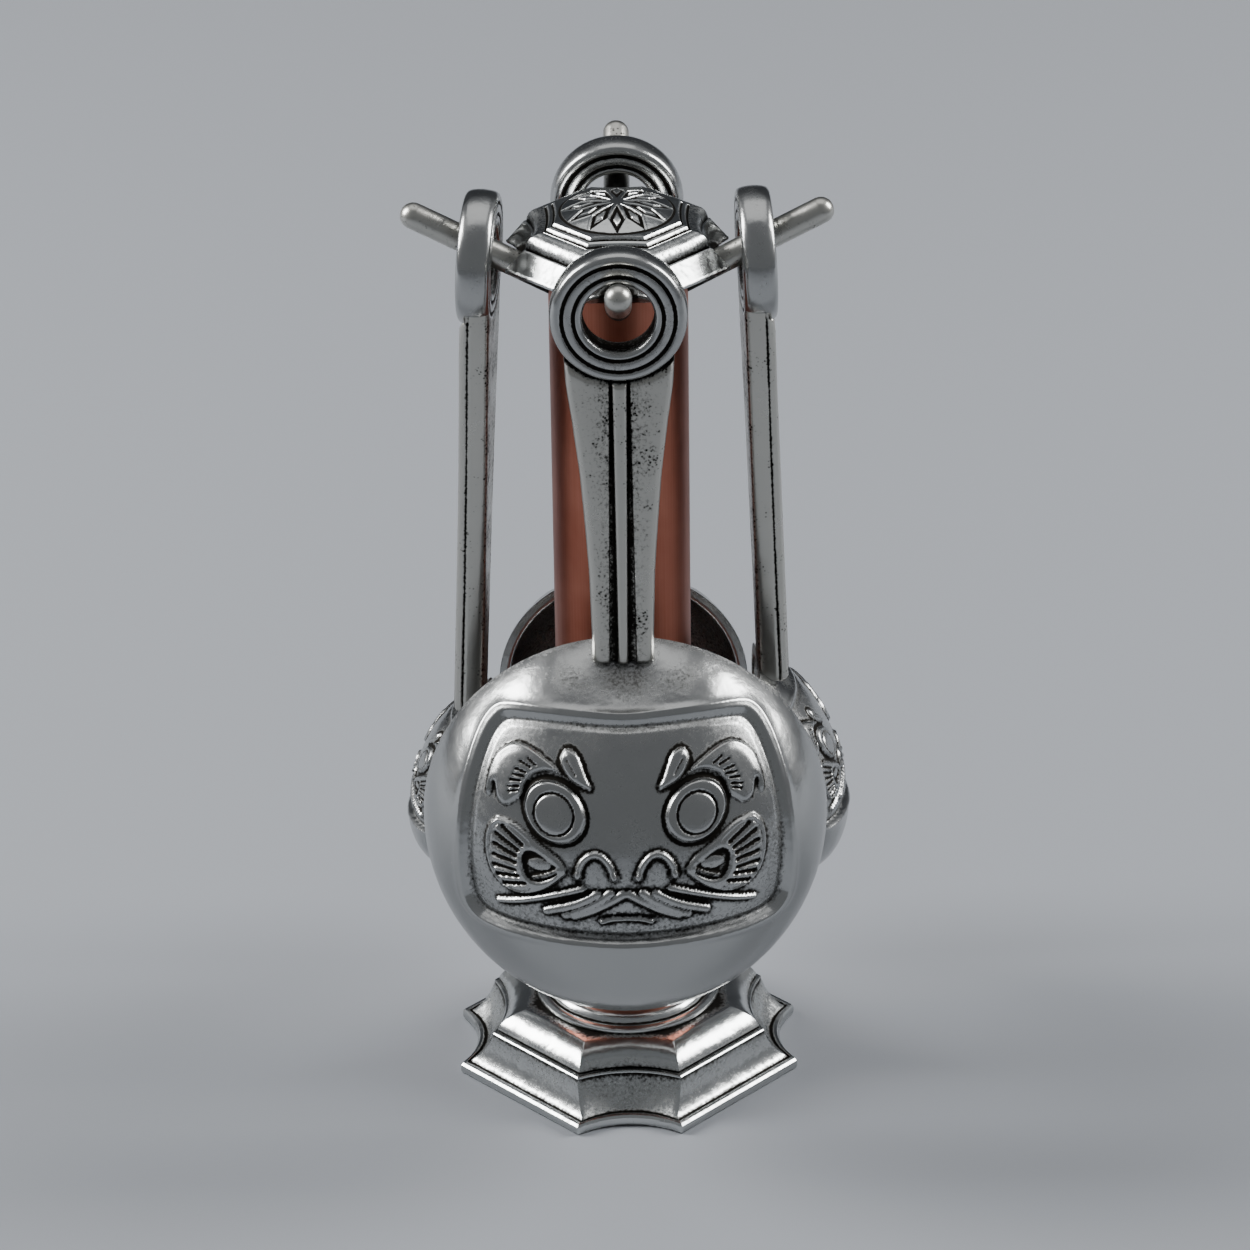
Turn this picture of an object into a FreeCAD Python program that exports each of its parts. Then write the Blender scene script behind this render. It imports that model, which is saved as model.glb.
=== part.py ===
import FreeCAD, Part
import math
import os

import Sketcher

# Four measuring spoons hung on a pipe stand.
# Frame: millimetres, +Z up, origin at the centre of the base's underside.
# The tablespoon hangs on the -Y side, which is the front.
# Its bowl, like the others, opens towards the post, and its face looks outwards.

doc = FreeCAD.newDocument("measuring_spoon_stand")
sheet = doc.addObject("Spreadsheet::Sheet", "sizes")

# ---------------------------------------------------------------- sizes (mm, degrees)

SIZES = {
    # post: half-inch copper water pipe
    "post_diameter": 15.875,
    "post_wall": 0.9,
    "post_seat": 3.2,           # height of the pipe's lower end above the table
    "post_top": 99.9,           # height of the pipe's upper end
    "glue_gap": 0.05,           # radial room of every glued joint
    # base: octagonal moulding with scalloped short sides
    "foot_half": 6.15,          # half of a short side, at the table
    "foot_reach": 20.4,         # from the axis to a short side's corners
    "foot_scoop": 2.05,         # depth of the scallop in a short side
    "rim_height": 2.5,
    "cove_half": 6.1,
    "cove_reach": 19.65,
    "cove_scoop": 1.95,
    "step_half": 6.1,
    "step_reach": 16.35,
    "step_scoop": 1.45,
    "step_low": 5.45,
    "roll_half": 5.9,
    "roll_reach": 15.85,
    "roll_scoop": 1.3,
    "roll_low": 5.9,
    "top_half": 5.25,
    "top_reach": 12.4,
    "top_scoop": 0.45,
    "top_height": 8.3,
    "collar_width": 3.1625,     # collar beyond the post
    "collar_height": 0.85,
    # crown: the same moulding turned over, with a round medallion on top
    "neck_half": 2.95,
    "neck_inset": 0.7375,       # the neck stands this far inside the post's edge
    "neck_scoop": 0.3,
    "lip_half": 4.1,
    "lip_reach": 12.65,
    "lip_scoop": 1.7,
    "lip_rise": 5.2,            # height of the crown's widest edge above the post
    "lip_thick": 0.35,
    "facet_half": 4.15,
    "facet_reach": 10.6,
    "facet_scoop": 1.05,
    "facet_rise": 7.85,
    "bead_half": 3.95,
    "bead_reach": 10.3,
    "bead_scoop": 0.9,
    "deck_half": 3.45,
    "deck_reach": 8.3,
    "deck_scoop": 0.25,
    "deck_rise": 9.65,
    "medallion_radius": 6.5,
    "medallion_rise": 1.25,
    "spigot_length": 6.0,
    # pegs: plain rods with round ends
    "peg_radius": 1.52,
    "peg_rise": 28.0,           # degrees above level
    "peg_root": 7.2,            # distance of a peg's inner end from the axis
    "peg_root_rise": 2.06,
    "peg_past": 7.27232,        # how far a peg's tip stands out beyond the ring's middle
    # what every spoon has
    "ring_radius": 7.7,
    "ring_hole": 3.97,
    "ring_thick": 3.8,
    "ring_round": 0.9,
    "ring_clear": 2.95,         # ring's middle plane to the crown's lip
    "bowl_clear": 2.1,          # ring's middle plane to the edge of a bowl round the corner
    "ring_slack": 0.922134,     # how far a sloping peg lets the ring hang below a close fit
    "spoon_lean": 2.0,          # degrees that a hanging spoon's foot swings outwards
    "handle_thick": 3.7,
    "shoulder_drop": 4.45,      # ring centre to the handle's widest section
    "shoulder_half": 6.2,
    "bowl_bite": 3.6,           # how far the handle's end reaches into the bowl
}

# what each spoon has of its own
SPOONS = {
    "tablespoon": {
        "heading": 0, "wide": 23.3, "tall": 22.2, "deep": 17.0, "sag": 5.5,
        "wall": 1.5, "centre": 42.3, "waist_half": 4.25, "grip_half": 3.5,
    },
    "half_teaspoon": {
        "heading": 90, "wide": 13.5, "tall": 13.5, "deep": 10.2, "sag": 4.6,
        "wall": 1.6, "centre": 40.0, "waist_half": 3.8, "grip_half": 3.2,
    },
    "teaspoon": {
        "heading": 180, "wide": 15.0, "tall": 15.0, "deep": 14.0, "sag": 4.8,
        "wall": 1.35, "centre": 41.8, "waist_half": 3.9, "grip_half": 3.3,
    },
    "quarter_teaspoon": {
        "heading": 270, "wide": 11.3, "tall": 11.3, "deep": 8.9, "sag": 3.6,
        "wall": 1.95, "centre": 38.4, "waist_half": 3.6, "grip_half": 3.0,
    },
}

# sizes that follow from others, as spreadsheet formulas
TIED = {
    "collar_radius": "post_diameter / 2 + collar_width",
    "neck_reach": "post_diameter / 2 - neck_inset",
    "lip_height": "post_top + lip_rise",
    "facet_height": "post_top + facet_rise",
    "deck_height": "post_top + deck_rise",
    "peg_root_height": "post_top + peg_root_rise",
    "ring_reach": "max(lip_reach + ring_clear; half_teaspoon_wide + bowl_clear; "
                  "quarter_teaspoon_wide + bowl_clear)",
    "peg_length": "(ring_reach - peg_root + peg_past) / cos(peg_rise * 1 deg)",
    "ring_height": "peg_root_height + (ring_reach - peg_root) * tan(peg_rise * 1 deg) "
                   "+ peg_radius / cos(peg_rise * 1 deg) - ring_hole + ring_slack",
}

for spoon_name, own in SPOONS.items():
    for word, value in own.items():
        SIZES[spoon_name + "_" + word] = value
    TIED[spoon_name + "_drop"] = "ring_height - %s_centre" % spoon_name

for row, (word, value) in enumerate([*SIZES.items(), *TIED.items()], start=1):
    sheet.set("A%d" % row, word)
    sheet.set("B%d" % row, "=" + value if word in TIED else str(value))
    sheet.setAlias("B%d" % row, word)
    doc.recompute()


# ---------------------------------------------------------------- helpers

def cell(word):
    """The way an expression names one size."""
    return "sizes." + word


def size(word):
    """One size as a number."""
    return float(sheet.get(word))


def new_body(label):
    body = doc.addObject("PartDesign::Body", label)
    body.Label = label
    return body


def origin_plane(body, role):
    return next(item for item in body.Origin.OriginFeatures if item.Role == role)


def level_sketch(body, name, height):
    """An empty sketch in a level plane at the given height expression."""
    sketch = body.newObject("Sketcher::SketchObject", name)
    sketch.AttachmentSupport = [(origin_plane(body, "XY_Plane"), "")]
    sketch.MapMode = "FlatFace"
    sketch.setExpression("AttachmentOffset.Base.z", height)
    return sketch


def add_circle(sketch, name, radius):
    """A circle about the sketch's origin, its radius tied to an expression."""
    index = sketch.addGeometry(Part.Circle(FreeCAD.Vector(), FreeCAD.Vector(0, 0, 1), 5.0), False)
    sketch.addConstraint(Sketcher.Constraint("Coincident", index, 3, -1, 1))
    number = sketch.addConstraint(Sketcher.Constraint("Radius", index, 5.0))
    sketch.renameConstraint(number, name)
    sketch.setExpression("Constraints." + name, radius)


def round_level(body, name, height, radius):
    sketch = level_sketch(body, name, height)
    add_circle(sketch, "radius", radius)
    return sketch


def place_corner(sketch, line, point, name, across, along):
    """Pin one line end at signed distances from the origin."""
    spot = sketch.getPoint(line, point)
    for axis, letter, value in (("DistanceX", "x", across), ("DistanceY", "y", along)):
        drawn = getattr(spot, letter)
        number = sketch.addConstraint(Sketcher.Constraint(axis, -1, 1, line, point, drawn))
        sketch.renameConstraint(number, name + letter)
        sketch.setExpression("Constraints." + name + letter, value)


def scalloped_level(body, name, height, half, reach, scoop, guess):
    """A level octagon: long straight sides on the diagonals, short hollow sides between.

    half is half a short side, reach its corners' distance from the axis and scoop its
    hollow's depth, all as expressions. guess gives the same three as numbers, which
    start the sketch in the right shape.
    """
    sketch = level_sketch(body, name, height)
    a, b, dip = guess
    turns = [(math.cos(q), math.sin(q)) for q in (math.pi / 2 * n for n in range(4))]

    def turned(x, y, turn):
        c, s = turns[turn]
        return FreeCAD.Vector(x * c - y * s, x * s + y * c, 0)

    bend = (a ** 2 + dip ** 2) / (2 * dip)
    lean = math.atan2(bend - dip, a)
    arcs = []
    for turn in range(4):
        round_it = Part.Circle(turned(0, dip - b - bend, turn), FreeCAD.Vector(0, 0, 1), bend)
        quarter = turn * math.pi / 2
        arc = Part.ArcOfCircle(round_it, quarter + lean, quarter + math.pi - lean)
        arcs.append(sketch.addGeometry(arc, False))
    lines = []
    for turn in range(4):
        side = Part.LineSegment(turned(a, -b, turn), turned(b, -a, turn))
        lines.append(sketch.addGeometry(side, False))
    signs = [(1, -1, 1, -1), (1, 1, 1, 1), (-1, 1, -1, 1), (-1, -1, -1, -1)]
    for turn, line in enumerate(lines):
        sx, sy, tx, ty = signs[turn]
        near, far = (half, reach) if turn % 2 == 0 else (reach, half)
        place_corner(sketch, line, 1, "p%d" % turn, "%d * (%s)" % (sx, near), "%d * (%s)" % (sy, far))
        place_corner(sketch, line, 2, "q%d" % turn, "%d * (%s)" % (tx, far), "%d * (%s)" % (ty, near))
    radius = "((%s)^2 + (%s)^2) / (2 * (%s))" % (half, scoop, scoop)
    middle = "(%s) - (%s) + %s" % (reach, scoop, radius)
    for turn, arc in enumerate(arcs):
        leaving, arriving = lines[turn], lines[turn - 1]
        sketch.addConstraint(Sketcher.Constraint("Coincident", arc, 1, leaving, 1))
        sketch.addConstraint(Sketcher.Constraint("Coincident", arc, 2, arriving, 2))
        axis, letter = (("DistanceY", "y"), ("DistanceX", "x"))[turn % 2]
        sign = (-1, 1, 1, -1)[turn]
        drawn = getattr(sketch.getPoint(arc, 3), letter)
        number = sketch.addConstraint(Sketcher.Constraint(axis, -1, 1, arc, 3, drawn))
        sketch.renameConstraint(number, "hollow%d" % turn)
        sketch.setExpression("Constraints.hollow%d" % turn, "%d * (%s)" % (sign, middle))
    return sketch


def between(low, high, share):
    return "%s + (%s - %s) * %.4f" % (low, high, low, share)


def moulding_level(body, name, low, high, low_height, high_height, share_in, share_up):
    """A scalloped level part-way between two named levels of the same moulding."""
    words = ("half", "reach", "scoop")
    ends = [(cell(low + "_" + word), cell(high + "_" + word)) for word in words]
    expressions = [between(one, two, share_in) for one, two in ends]
    numbers = [(1 - share_in) * size(low + "_" + word) + share_in * size(high + "_" + word)
               for word in words]
    height = between(low_height, high_height, share_up)
    return scalloped_level(body, name, height, *expressions, numbers)


def loft(body, name, sketches, ruled=False):
    feature = body.newObject("PartDesign::AdditiveLoft", name)
    feature.Profile = sketches[0]
    feature.Sections = sketches[1:]
    feature.Ruled = ruled
    for sketch in sketches:
        sketch.Visibility = False
    return feature


def curved_stage(body, name, low, high, low_height, high_height, curve):
    """A stage of a moulding whose outline runs in along curve, from 0 to 1."""
    steps = 4
    sketches = []
    for step in range(steps + 1):
        share_in, share_up = curve(step / steps * math.pi / 2)
        level = "%s_level%d" % (name, step)
        sketches.append(moulding_level(body, level, low, high, low_height, high_height,
                                       share_in, share_up))
    return loft(body, name, sketches, ruled=True)


def pad(body, name, sketch, length):
    feature = body.newObject("PartDesign::Pad", name)
    feature.Profile = sketch
    feature.setExpression("Length", length)
    sketch.Visibility = False
    return feature


def pocket(body, name, sketch, depth):
    feature = body.newObject("PartDesign::Pocket", name)
    feature.Profile = sketch
    feature.setExpression("Length", depth)
    sketch.Visibility = False
    return feature


def primitive(body, kind, name, position=("0", "0", "0"), axis=(0, 0, 1), angle="0", **sizes):
    """A PartDesign primitive, its place and sizes tied to expressions."""
    feature = body.newObject("PartDesign::" + kind, name)
    feature.MapMode = "Deactivated"
    feature.Placement.Rotation = FreeCAD.Rotation(FreeCAD.Vector(*axis), 1.0)
    for letter, value in zip("xyz", position):
        feature.setExpression("Placement.Base." + letter, value)
    feature.setExpression("Placement.Rotation.Angle", angle)
    for word, value in sizes.items():
        feature.setExpression(word, value)
    return feature


# ---------------------------------------------------------------- base

def cove(angle):
    """Hollow quarter round: level at first, upright at the end."""
    return math.sin(angle), 1 - math.cos(angle)


def ovolo(angle):
    """Full quarter round: upright at first, level at the end."""
    return 1 - math.cos(angle), math.sin(angle)


def make_base():
    body = new_body("base")
    foot = [moulding_level(body, "foot_level%d" % n, "foot", "cove", "0", cell("rim_height"), n, n)
            for n in (0, 1)]
    loft(body, "foot_rim", foot, ruled=True)
    curved_stage(body, "cove", "cove", "step", cell("rim_height"), cell("step_low"), cove)
    step = [moulding_level(body, "step_level%d" % n, "step", "roll", cell("step_low"),
                           cell("roll_low"), n, n) for n in (0, 1)]
    loft(body, "step", step, ruled=True)
    curved_stage(body, "roll", "roll", "top", cell("roll_low"), cell("top_height"), ovolo)
    collar = round_level(body, "collar_ring", cell("top_height"), cell("collar_radius"))
    pad(body, "collar", collar, cell("collar_height"))
    doc.recompute()
    full = body.Shape.Volume
    socket_radius = "%s / 2 + %s" % (cell("post_diameter"), cell("glue_gap"))
    rim = "%s + %s" % (cell("top_height"), cell("collar_height"))
    socket = round_level(body, "socket_ring", rim, socket_radius)
    pocket(body, "socket", socket, "%s - %s" % (rim, cell("post_seat")))
    doc.recompute()
    if body.Shape.Volume >= full:
        raise RuntimeError("the post socket cuts nothing from the base")
    return body


# ---------------------------------------------------------------- post

def make_post():
    body = new_body("post_tube")
    sketch = level_sketch(body, "pipe_section", cell("post_seat"))
    add_circle(sketch, "outside", "%s / 2" % cell("post_diameter"))
    add_circle(sketch, "bore", "%s / 2 - %s" % (cell("post_diameter"), cell("post_wall")))
    pad(body, "pipe", sketch, "%s - %s" % (cell("post_top"), cell("post_seat")))
    return body


# ---------------------------------------------------------------- crown and pegs

def peg_axis(heading):
    """The level axis that +Z turns about to lie along a peg."""
    level = math.radians(heading)
    return math.cos(level), math.sin(level), 0


def peg_root(heading):
    """A peg's inner end, as expressions. Heading 0 points to -Y."""
    return ("%s * sin(%d)" % (cell("peg_root"), heading),
            "-%s * cos(%d)" % (cell("peg_root"), heading),
            cell("peg_root_height"))


def make_crown():
    body = new_body("crown")
    neck_height = cell("post_top")
    lip_low = cell("lip_height")
    lip_high = "%s + %s" % (cell("lip_height"), cell("lip_thick"))
    neck = [moulding_level(body, "neck_level%d" % n, "neck", "lip", neck_height, lip_low, n, n)
            for n in (0, 1)]
    loft(body, "neck", neck, ruled=True)
    lip = [moulding_level(body, "lip_level%d" % n, "lip", "lip", lip_low, lip_high, 0, n)
           for n in (0, 1)]
    loft(body, "lip", lip, ruled=True)
    facet = [moulding_level(body, "facet_level%d" % n, "lip", "facet", lip_high,
                            cell("facet_height"), n, n) for n in (0, 1)]
    loft(body, "facet", facet, ruled=True)
    curved_stage(body, "bead", "bead", "deck", cell("facet_height"), cell("deck_height"), ovolo)
    rise = cell("medallion_rise")
    radius = cell("medallion_radius")
    dome = "(%s^2 + %s^2) / (2 * %s)" % (radius, rise, rise)
    cap_edge = "90 deg - 2 * atan(%s / %s)" % (rise, radius)
    primitive(body, "AdditiveSphere", "medallion",
              position=("0", "0", "%s + %s - %s" % (cell("deck_height"), rise, dome)),
              Radius=dome, Angle1=cap_edge)
    spigot_radius = "%s / 2 - %s - %s" % (cell("post_diameter"), cell("post_wall"), cell("glue_gap"))
    spigot = round_level(body, "spigot_ring", "%s - %s" % (neck_height, cell("spigot_length")),
                         spigot_radius)
    pad(body, "spigot", spigot, "%s + 0.5" % cell("spigot_length"))
    doc.recompute()
    full = body.Shape.Volume
    for name, heading in (("front", 0), ("right", 90), ("back", 180), ("left", 270)):
        primitive(body, "SubtractiveCylinder", "peg_socket_" + name,
                  position=peg_root(heading), axis=peg_axis(heading), angle="90 - %s" % cell("peg_rise"),
                  Radius="%s + %s" % (cell("peg_radius"), cell("glue_gap")),
                  Height=cell("peg_length"))
    doc.recompute()
    if body.Shape.Volume >= full:
        raise RuntimeError("the peg sockets cut nothing from the crown")
    return body


def make_peg(name, heading):
    body = new_body("peg_" + name)
    primitive(body, "AdditiveCylinder", "rod_" + name,
              Radius=cell("peg_radius"), Height=cell("peg_length"))
    primitive(body, "AdditiveSphere", "tip_" + name, position=("0", "0", cell("peg_length")),
              Radius=cell("peg_radius"))
    body.Placement.Rotation = FreeCAD.Rotation(FreeCAD.Vector(*peg_axis(heading)), 1.0)
    for letter, value in zip("xyz", peg_root(heading)):
        body.setExpression("Placement.Base." + letter, value)
    body.setExpression("Placement.Rotation.Angle", "90 - %s" % cell("peg_rise"))
    return body


# ---------------------------------------------------------------- spoons

def sagging_ellipsoid(body, kind, name, centre, wide, tall, deep, sag):
    """An ellipsoid whose fullest point lies sag below its centre.

    Cut by an upright plane through its centre it leaves a bowl: its rim is 2 wide by
    2 tall, and its deepest point is deep from the rim plane and sag below the middle.
    """
    mean = "(({d})^2 + ({s})^2 + ({t})^2) / 2".format(d=deep, s=sag, t=tall)
    half = "(({t})^2 + ({s})^2 - ({d})^2) / 2".format(d=deep, s=sag, t=tall)
    root = "sqrt(({h})^2 + ({d})^2 * ({s})^2)".format(h=half, d=deep, s=sag)
    tilt = "-0.5 * atan2(({d}) * ({s}); {h})".format(h=half, d=deep, s=sag)
    return primitive(body, kind, name, position=centre, axis=(1, 0, 0), angle=tilt,
                     Radius1="sqrt(%s + %s)" % (mean, root), Radius2=wide,
                     Radius3="sqrt(%s - %s)" % (mean, root))


def handle_section(body, name, height, half):
    """A level rectangle, flush with the rim plane at the back."""
    sketch = level_sketch(body, name, height)
    guess = 3.0
    corners = [(-guess, -guess), (guess, -guess), (guess, guess), (-guess, guess)]
    points = [FreeCAD.Vector(x, y, 0) for x, y in corners]
    lines = [sketch.addGeometry(Part.LineSegment(points[n], points[(n + 1) % 4]), False)
             for n in range(4)]
    back = "%s / 2" % cell("ring_thick")
    front = "%s - %s" % (back, cell("handle_thick"))
    places = [("-(%s)" % half, front), (half, front), (half, back), ("-(%s)" % half, back)]
    for number, (line, (across, along)) in enumerate(zip(lines, places)):
        place_corner(sketch, line, 1, "c%d" % number, across, along)
        sketch.addConstraint(Sketcher.Constraint("Coincident", line, 1, lines[number - 1], 2))
    return sketch


def round_edges(body, name, radius, picked):
    """Round the edges of the body's last feature that picked() accepts."""
    doc.recompute()
    last = body.Tip
    edges = ["Edge%d" % (n + 1) for n, edge in enumerate(last.Shape.Edges) if picked(edge)]
    feature = body.newObject("PartDesign::Fillet", name)
    feature.Base = (last, edges)
    feature.setExpression("Radius", radius)
    doc.recompute()
    return feature


def make_spoon(name):
    body = new_body(name)

    def own(word):
        return cell(name + "_" + word)

    back = "%s / 2" % cell("ring_thick")
    primitive(body, "AdditiveCylinder", name + "_ring", position=("0", back, "0"),
              axis=(1, 0, 0), angle="90", Radius=cell("ring_radius"), Height=cell("ring_thick"))
    primitive(body, "SubtractiveCylinder", name + "_hole", position=("0", back, "0"),
              axis=(1, 0, 0), angle="90", Radius=cell("ring_hole"), Height=cell("ring_thick"))
    round_edges(body, name + "_ring_round", cell("ring_round"),
                lambda edge: edge.Curve.TypeId == "Part::GeomCircle")

    shoulder = "-(%s)" % cell("shoulder_drop")
    grip_end = "-(%s - %s + %s)" % (own("drop"), own("tall"), cell("bowl_bite"))
    shares = [(0.0, cell("shoulder_half")),
              (0.22, between(cell("shoulder_half"), own("waist_half"), 0.48)),
              (0.5, own("waist_half")),
              (1.0, own("grip_half"))]
    sections = [handle_section(body, "%s_handle_level%d" % (name, n),
                               between(shoulder, grip_end, share), half)
                for n, (share, half) in enumerate(shares)]
    loft(body, name + "_handle", sections)

    centre = ("0", back, "-(%s)" % own("drop"))
    sagging_ellipsoid(body, "AdditiveEllipsoid", name + "_hood", centre,
                      own("wide"), own("tall"), own("deep"), own("sag"))
    reach = "4 * %s" % own("wide")
    primitive(body, "SubtractiveBox", name + "_rim_cut",
              position=("-%s / 2" % reach, back, "-(%s) - %s / 2" % (own("drop"), reach)),
              Length=reach, Width=reach, Height=reach)
    inner = ["%s - %s" % (own(word), own("wall")) for word in ("wide", "tall", "deep")]
    inner_sag = "%s * (%s) / %s" % (own("sag"), inner[2], own("deep"))
    sagging_ellipsoid(body, "SubtractiveEllipsoid", name + "_cavity", centre, *inner, inner_sag)

    heading = own("heading")
    hang = "create(<<placement>>; create(<<vector>>; {x}; {y}; {z}); {turn} * {lean})".format(
        x="%s * sin(%s)" % (cell("ring_reach"), heading),
        y="-%s * cos(%s)" % (cell("ring_reach"), heading),
        z=cell("ring_height"),
        turn="create(<<rotation>>; create(<<vector>>; 0; 0; 1); %s)" % heading,
        lean="create(<<rotation>>; create(<<vector>>; 1; 0; 0); -%s)" % cell("spoon_lean"))
    body.setExpression("Placement", hang)
    return body


# ---------------------------------------------------------------- build, check, write

bodies = [make_base(), make_post(), make_crown()]
bodies += [make_peg(name, heading)
           for name, heading in (("front", 0), ("right", 90), ("back", 180), ("left", 270))]
bodies += [make_spoon(name) for name in SPOONS]
doc.recompute()

for item in doc.Objects:
    if any(word in item.State for word in ("Invalid", "Error")):
        raise RuntimeError("%s failed: %s" % (item.Label, item.State))
for body in bodies:
    shape = body.Shape
    if shape.isNull() or not shape.isValid():
        raise RuntimeError("%s has no valid shape" % body.Label)

os.makedirs("parts", exist_ok=True)
for body in bodies:
    body.Shape.exportStep("parts/%s.step" % body.Label)
    box = body.Shape.BoundBox
    print("%-18s solids %d  volume %9.1f mm3  x %.2f..%.2f  y %.2f..%.2f  z %.2f..%.2f" % (
        body.Label, len(body.Shape.Solids), body.Shape.Volume,
        box.XMin, box.XMax, box.YMin, box.YMax, box.ZMin, box.ZMax))
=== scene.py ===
# %% [markdown]
# # Four measuring spoons on their stand
# The real object is a kitchen set: a copper post with a cast pewter base and crown, and four
# cast pewter spoons that hang from pegs. The back of each bowl is a round doll face.
# The measured frame comes first, because every piece takes its place from it. Everything here
# is in metres, with the front of the stand towards -Y.

# %% Load the measured frame
import math

import bpy
import numpy as np
from mathutils import Matrix, Vector


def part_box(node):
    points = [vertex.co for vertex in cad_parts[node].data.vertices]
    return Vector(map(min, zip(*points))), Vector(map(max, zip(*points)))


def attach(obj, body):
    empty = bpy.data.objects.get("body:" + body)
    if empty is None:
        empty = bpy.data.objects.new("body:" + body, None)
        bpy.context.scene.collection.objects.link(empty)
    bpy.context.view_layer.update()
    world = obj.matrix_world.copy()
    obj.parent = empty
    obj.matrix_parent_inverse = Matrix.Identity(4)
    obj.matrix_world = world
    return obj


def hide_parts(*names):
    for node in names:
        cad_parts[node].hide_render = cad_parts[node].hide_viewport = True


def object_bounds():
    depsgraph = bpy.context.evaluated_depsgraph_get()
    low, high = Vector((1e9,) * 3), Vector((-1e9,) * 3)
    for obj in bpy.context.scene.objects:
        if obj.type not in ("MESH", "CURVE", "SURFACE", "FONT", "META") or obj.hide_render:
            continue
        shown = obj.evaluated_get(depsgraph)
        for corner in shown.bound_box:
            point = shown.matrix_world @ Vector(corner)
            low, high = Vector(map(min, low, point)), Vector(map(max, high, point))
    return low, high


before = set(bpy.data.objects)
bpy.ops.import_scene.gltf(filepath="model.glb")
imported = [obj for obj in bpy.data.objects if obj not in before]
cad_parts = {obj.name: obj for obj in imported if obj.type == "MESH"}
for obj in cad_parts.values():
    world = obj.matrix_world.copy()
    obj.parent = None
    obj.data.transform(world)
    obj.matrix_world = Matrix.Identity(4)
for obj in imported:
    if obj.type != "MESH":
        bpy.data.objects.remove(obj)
cad_box = [list(corner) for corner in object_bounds()]
MM = 0.001
print("frame box, mm:", [[round(v / MM, 1) for v in corner] for corner in cad_box])

# %% [markdown]
# ## The camera
# A lens this long, from well back, keeps the upright lines of a small object nearly parallel.
# The camera looks down at the middle of the stand, from the front, with the hair of roll that
# a hand-set tripod has.

# %% Camera
LENS, SENSOR = 154.6, 36                         # mm
LOOK_DOWN, ROLL = math.radians(28.17), math.radians(-0.80)
STAND_OFF = 627.4 * MM
AIM_RIGHT, AIM_UP = 0.25 * MM, 1.4 * MM          # the aim, measured from the stand's middle

middle = Vector((AIM_RIGHT, 0.0, (cad_box[0][2] + cad_box[1][2]) / 2 + AIM_UP))
bpy.ops.object.camera_add()
camera = bpy.context.object
camera.name = "camera"
camera.data.lens = LENS
camera.data.sensor_width = SENSOR
camera.data.clip_start = 0.01
camera.rotation_euler = (math.pi / 2 - LOOK_DOWN, 0, 0)
turned = camera.rotation_euler.to_matrix() @ Matrix.Rotation(ROLL, 3, "Z")
camera.rotation_euler = turned.to_euler()
back_off = Vector((0, -math.cos(LOOK_DOWN), math.sin(LOOK_DOWN)))
camera.location = middle + STAND_OFF * back_off
bpy.context.scene.camera = camera
print("camera stands at", [round(v, 3) for v in camera.location])

# %% [markdown]
# ## Small helpers
# An operator acts on all that is selected, so each step starts with nothing selected. The
# others turn a colour's code into the linear light that shaders work in, add a node with its
# settings and links in one call, and start a material. They are written once, because every
# later step needs them.

# %% Helpers
def fresh():
    """Object mode, with nothing selected."""
    if bpy.context.object and bpy.context.object.mode != "OBJECT":
        bpy.ops.object.mode_set(mode="OBJECT")
    bpy.ops.object.select_all(action="DESELECT")


def colour(code):
    """Linear colour of an sRGB hex code."""
    parts = [int(code[n:n + 2], 16) / 255 for n in (1, 3, 5)]
    return [p / 12.92 if p <= 0.04045 else ((p + 0.055) / 1.055) ** 2.4 for p in parts] + [1.0]


def add_node(tree, kind, inputs=None, **settings):
    """A new node with its settings, and its inputs as numbers or as links from sockets."""
    new = tree.nodes.new(kind)
    for word, value in settings.items():
        setattr(new, word, value)
    for socket, value in (inputs or {}).items():
        if isinstance(value, bpy.types.NodeSocket):
            tree.links.new(value, new.inputs[socket])
        else:
            new.inputs[socket].default_value = value
    return new


def new_material(name):
    """A material with only a shader and an output, and its node tree."""
    material = bpy.data.materials.new(name)
    material.use_nodes = True
    tree = material.node_tree
    tree.nodes.clear()
    shader = add_node(tree, "ShaderNodeBsdfPrincipled")
    add_node(tree, "ShaderNodeOutputMaterial", {"Surface": shader.outputs[0]})
    return material, tree, shader


print("middle grey in linear light:", round(colour("#808080")[0], 3))

# %% [markdown]
# ## Floor
# The stand is on a sheet of matt grey paper that runs up a wall far behind it. It is a plane
# primitive whose back edge is extruded upwards, and the edge is found by its place.

# %% Floor
FLOOR_SIZE, WALL_HEIGHT = 6.0, 3.0
fresh()
bpy.ops.mesh.primitive_plane_add(size=FLOOR_SIZE, location=(0, 1.0, 0))
floor = bpy.context.object
floor.name = "floor"
bpy.ops.object.mode_set(mode="EDIT")
bpy.ops.mesh.select_all(action="DESELECT")
bpy.ops.mesh.select_mode(type="EDGE")
bpy.ops.object.mode_set(mode="OBJECT")
for edge in floor.data.edges:
    edge.select = all(floor.data.vertices[n].co.y > 0 for n in edge.vertices)
bpy.ops.object.mode_set(mode="EDIT")
bpy.ops.mesh.extrude_region_move(TRANSFORM_OT_translate={"value": (0, 0, WALL_HEIGHT)})
bpy.ops.object.mode_set(mode="OBJECT")
bpy.ops.object.transform_apply(location=True, rotation=True, scale=True)
paper, tree, shader = new_material("matt_paper")
shader.inputs["Base Color"].default_value = colour("#888B90")
shader.inputs["Roughness"].default_value = 0.9
shader.inputs["Specular IOR Level"].default_value = 0.2
floor.data.materials.append(paper)
print("floor and wall faces:", len(floor.data.polygons))

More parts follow.
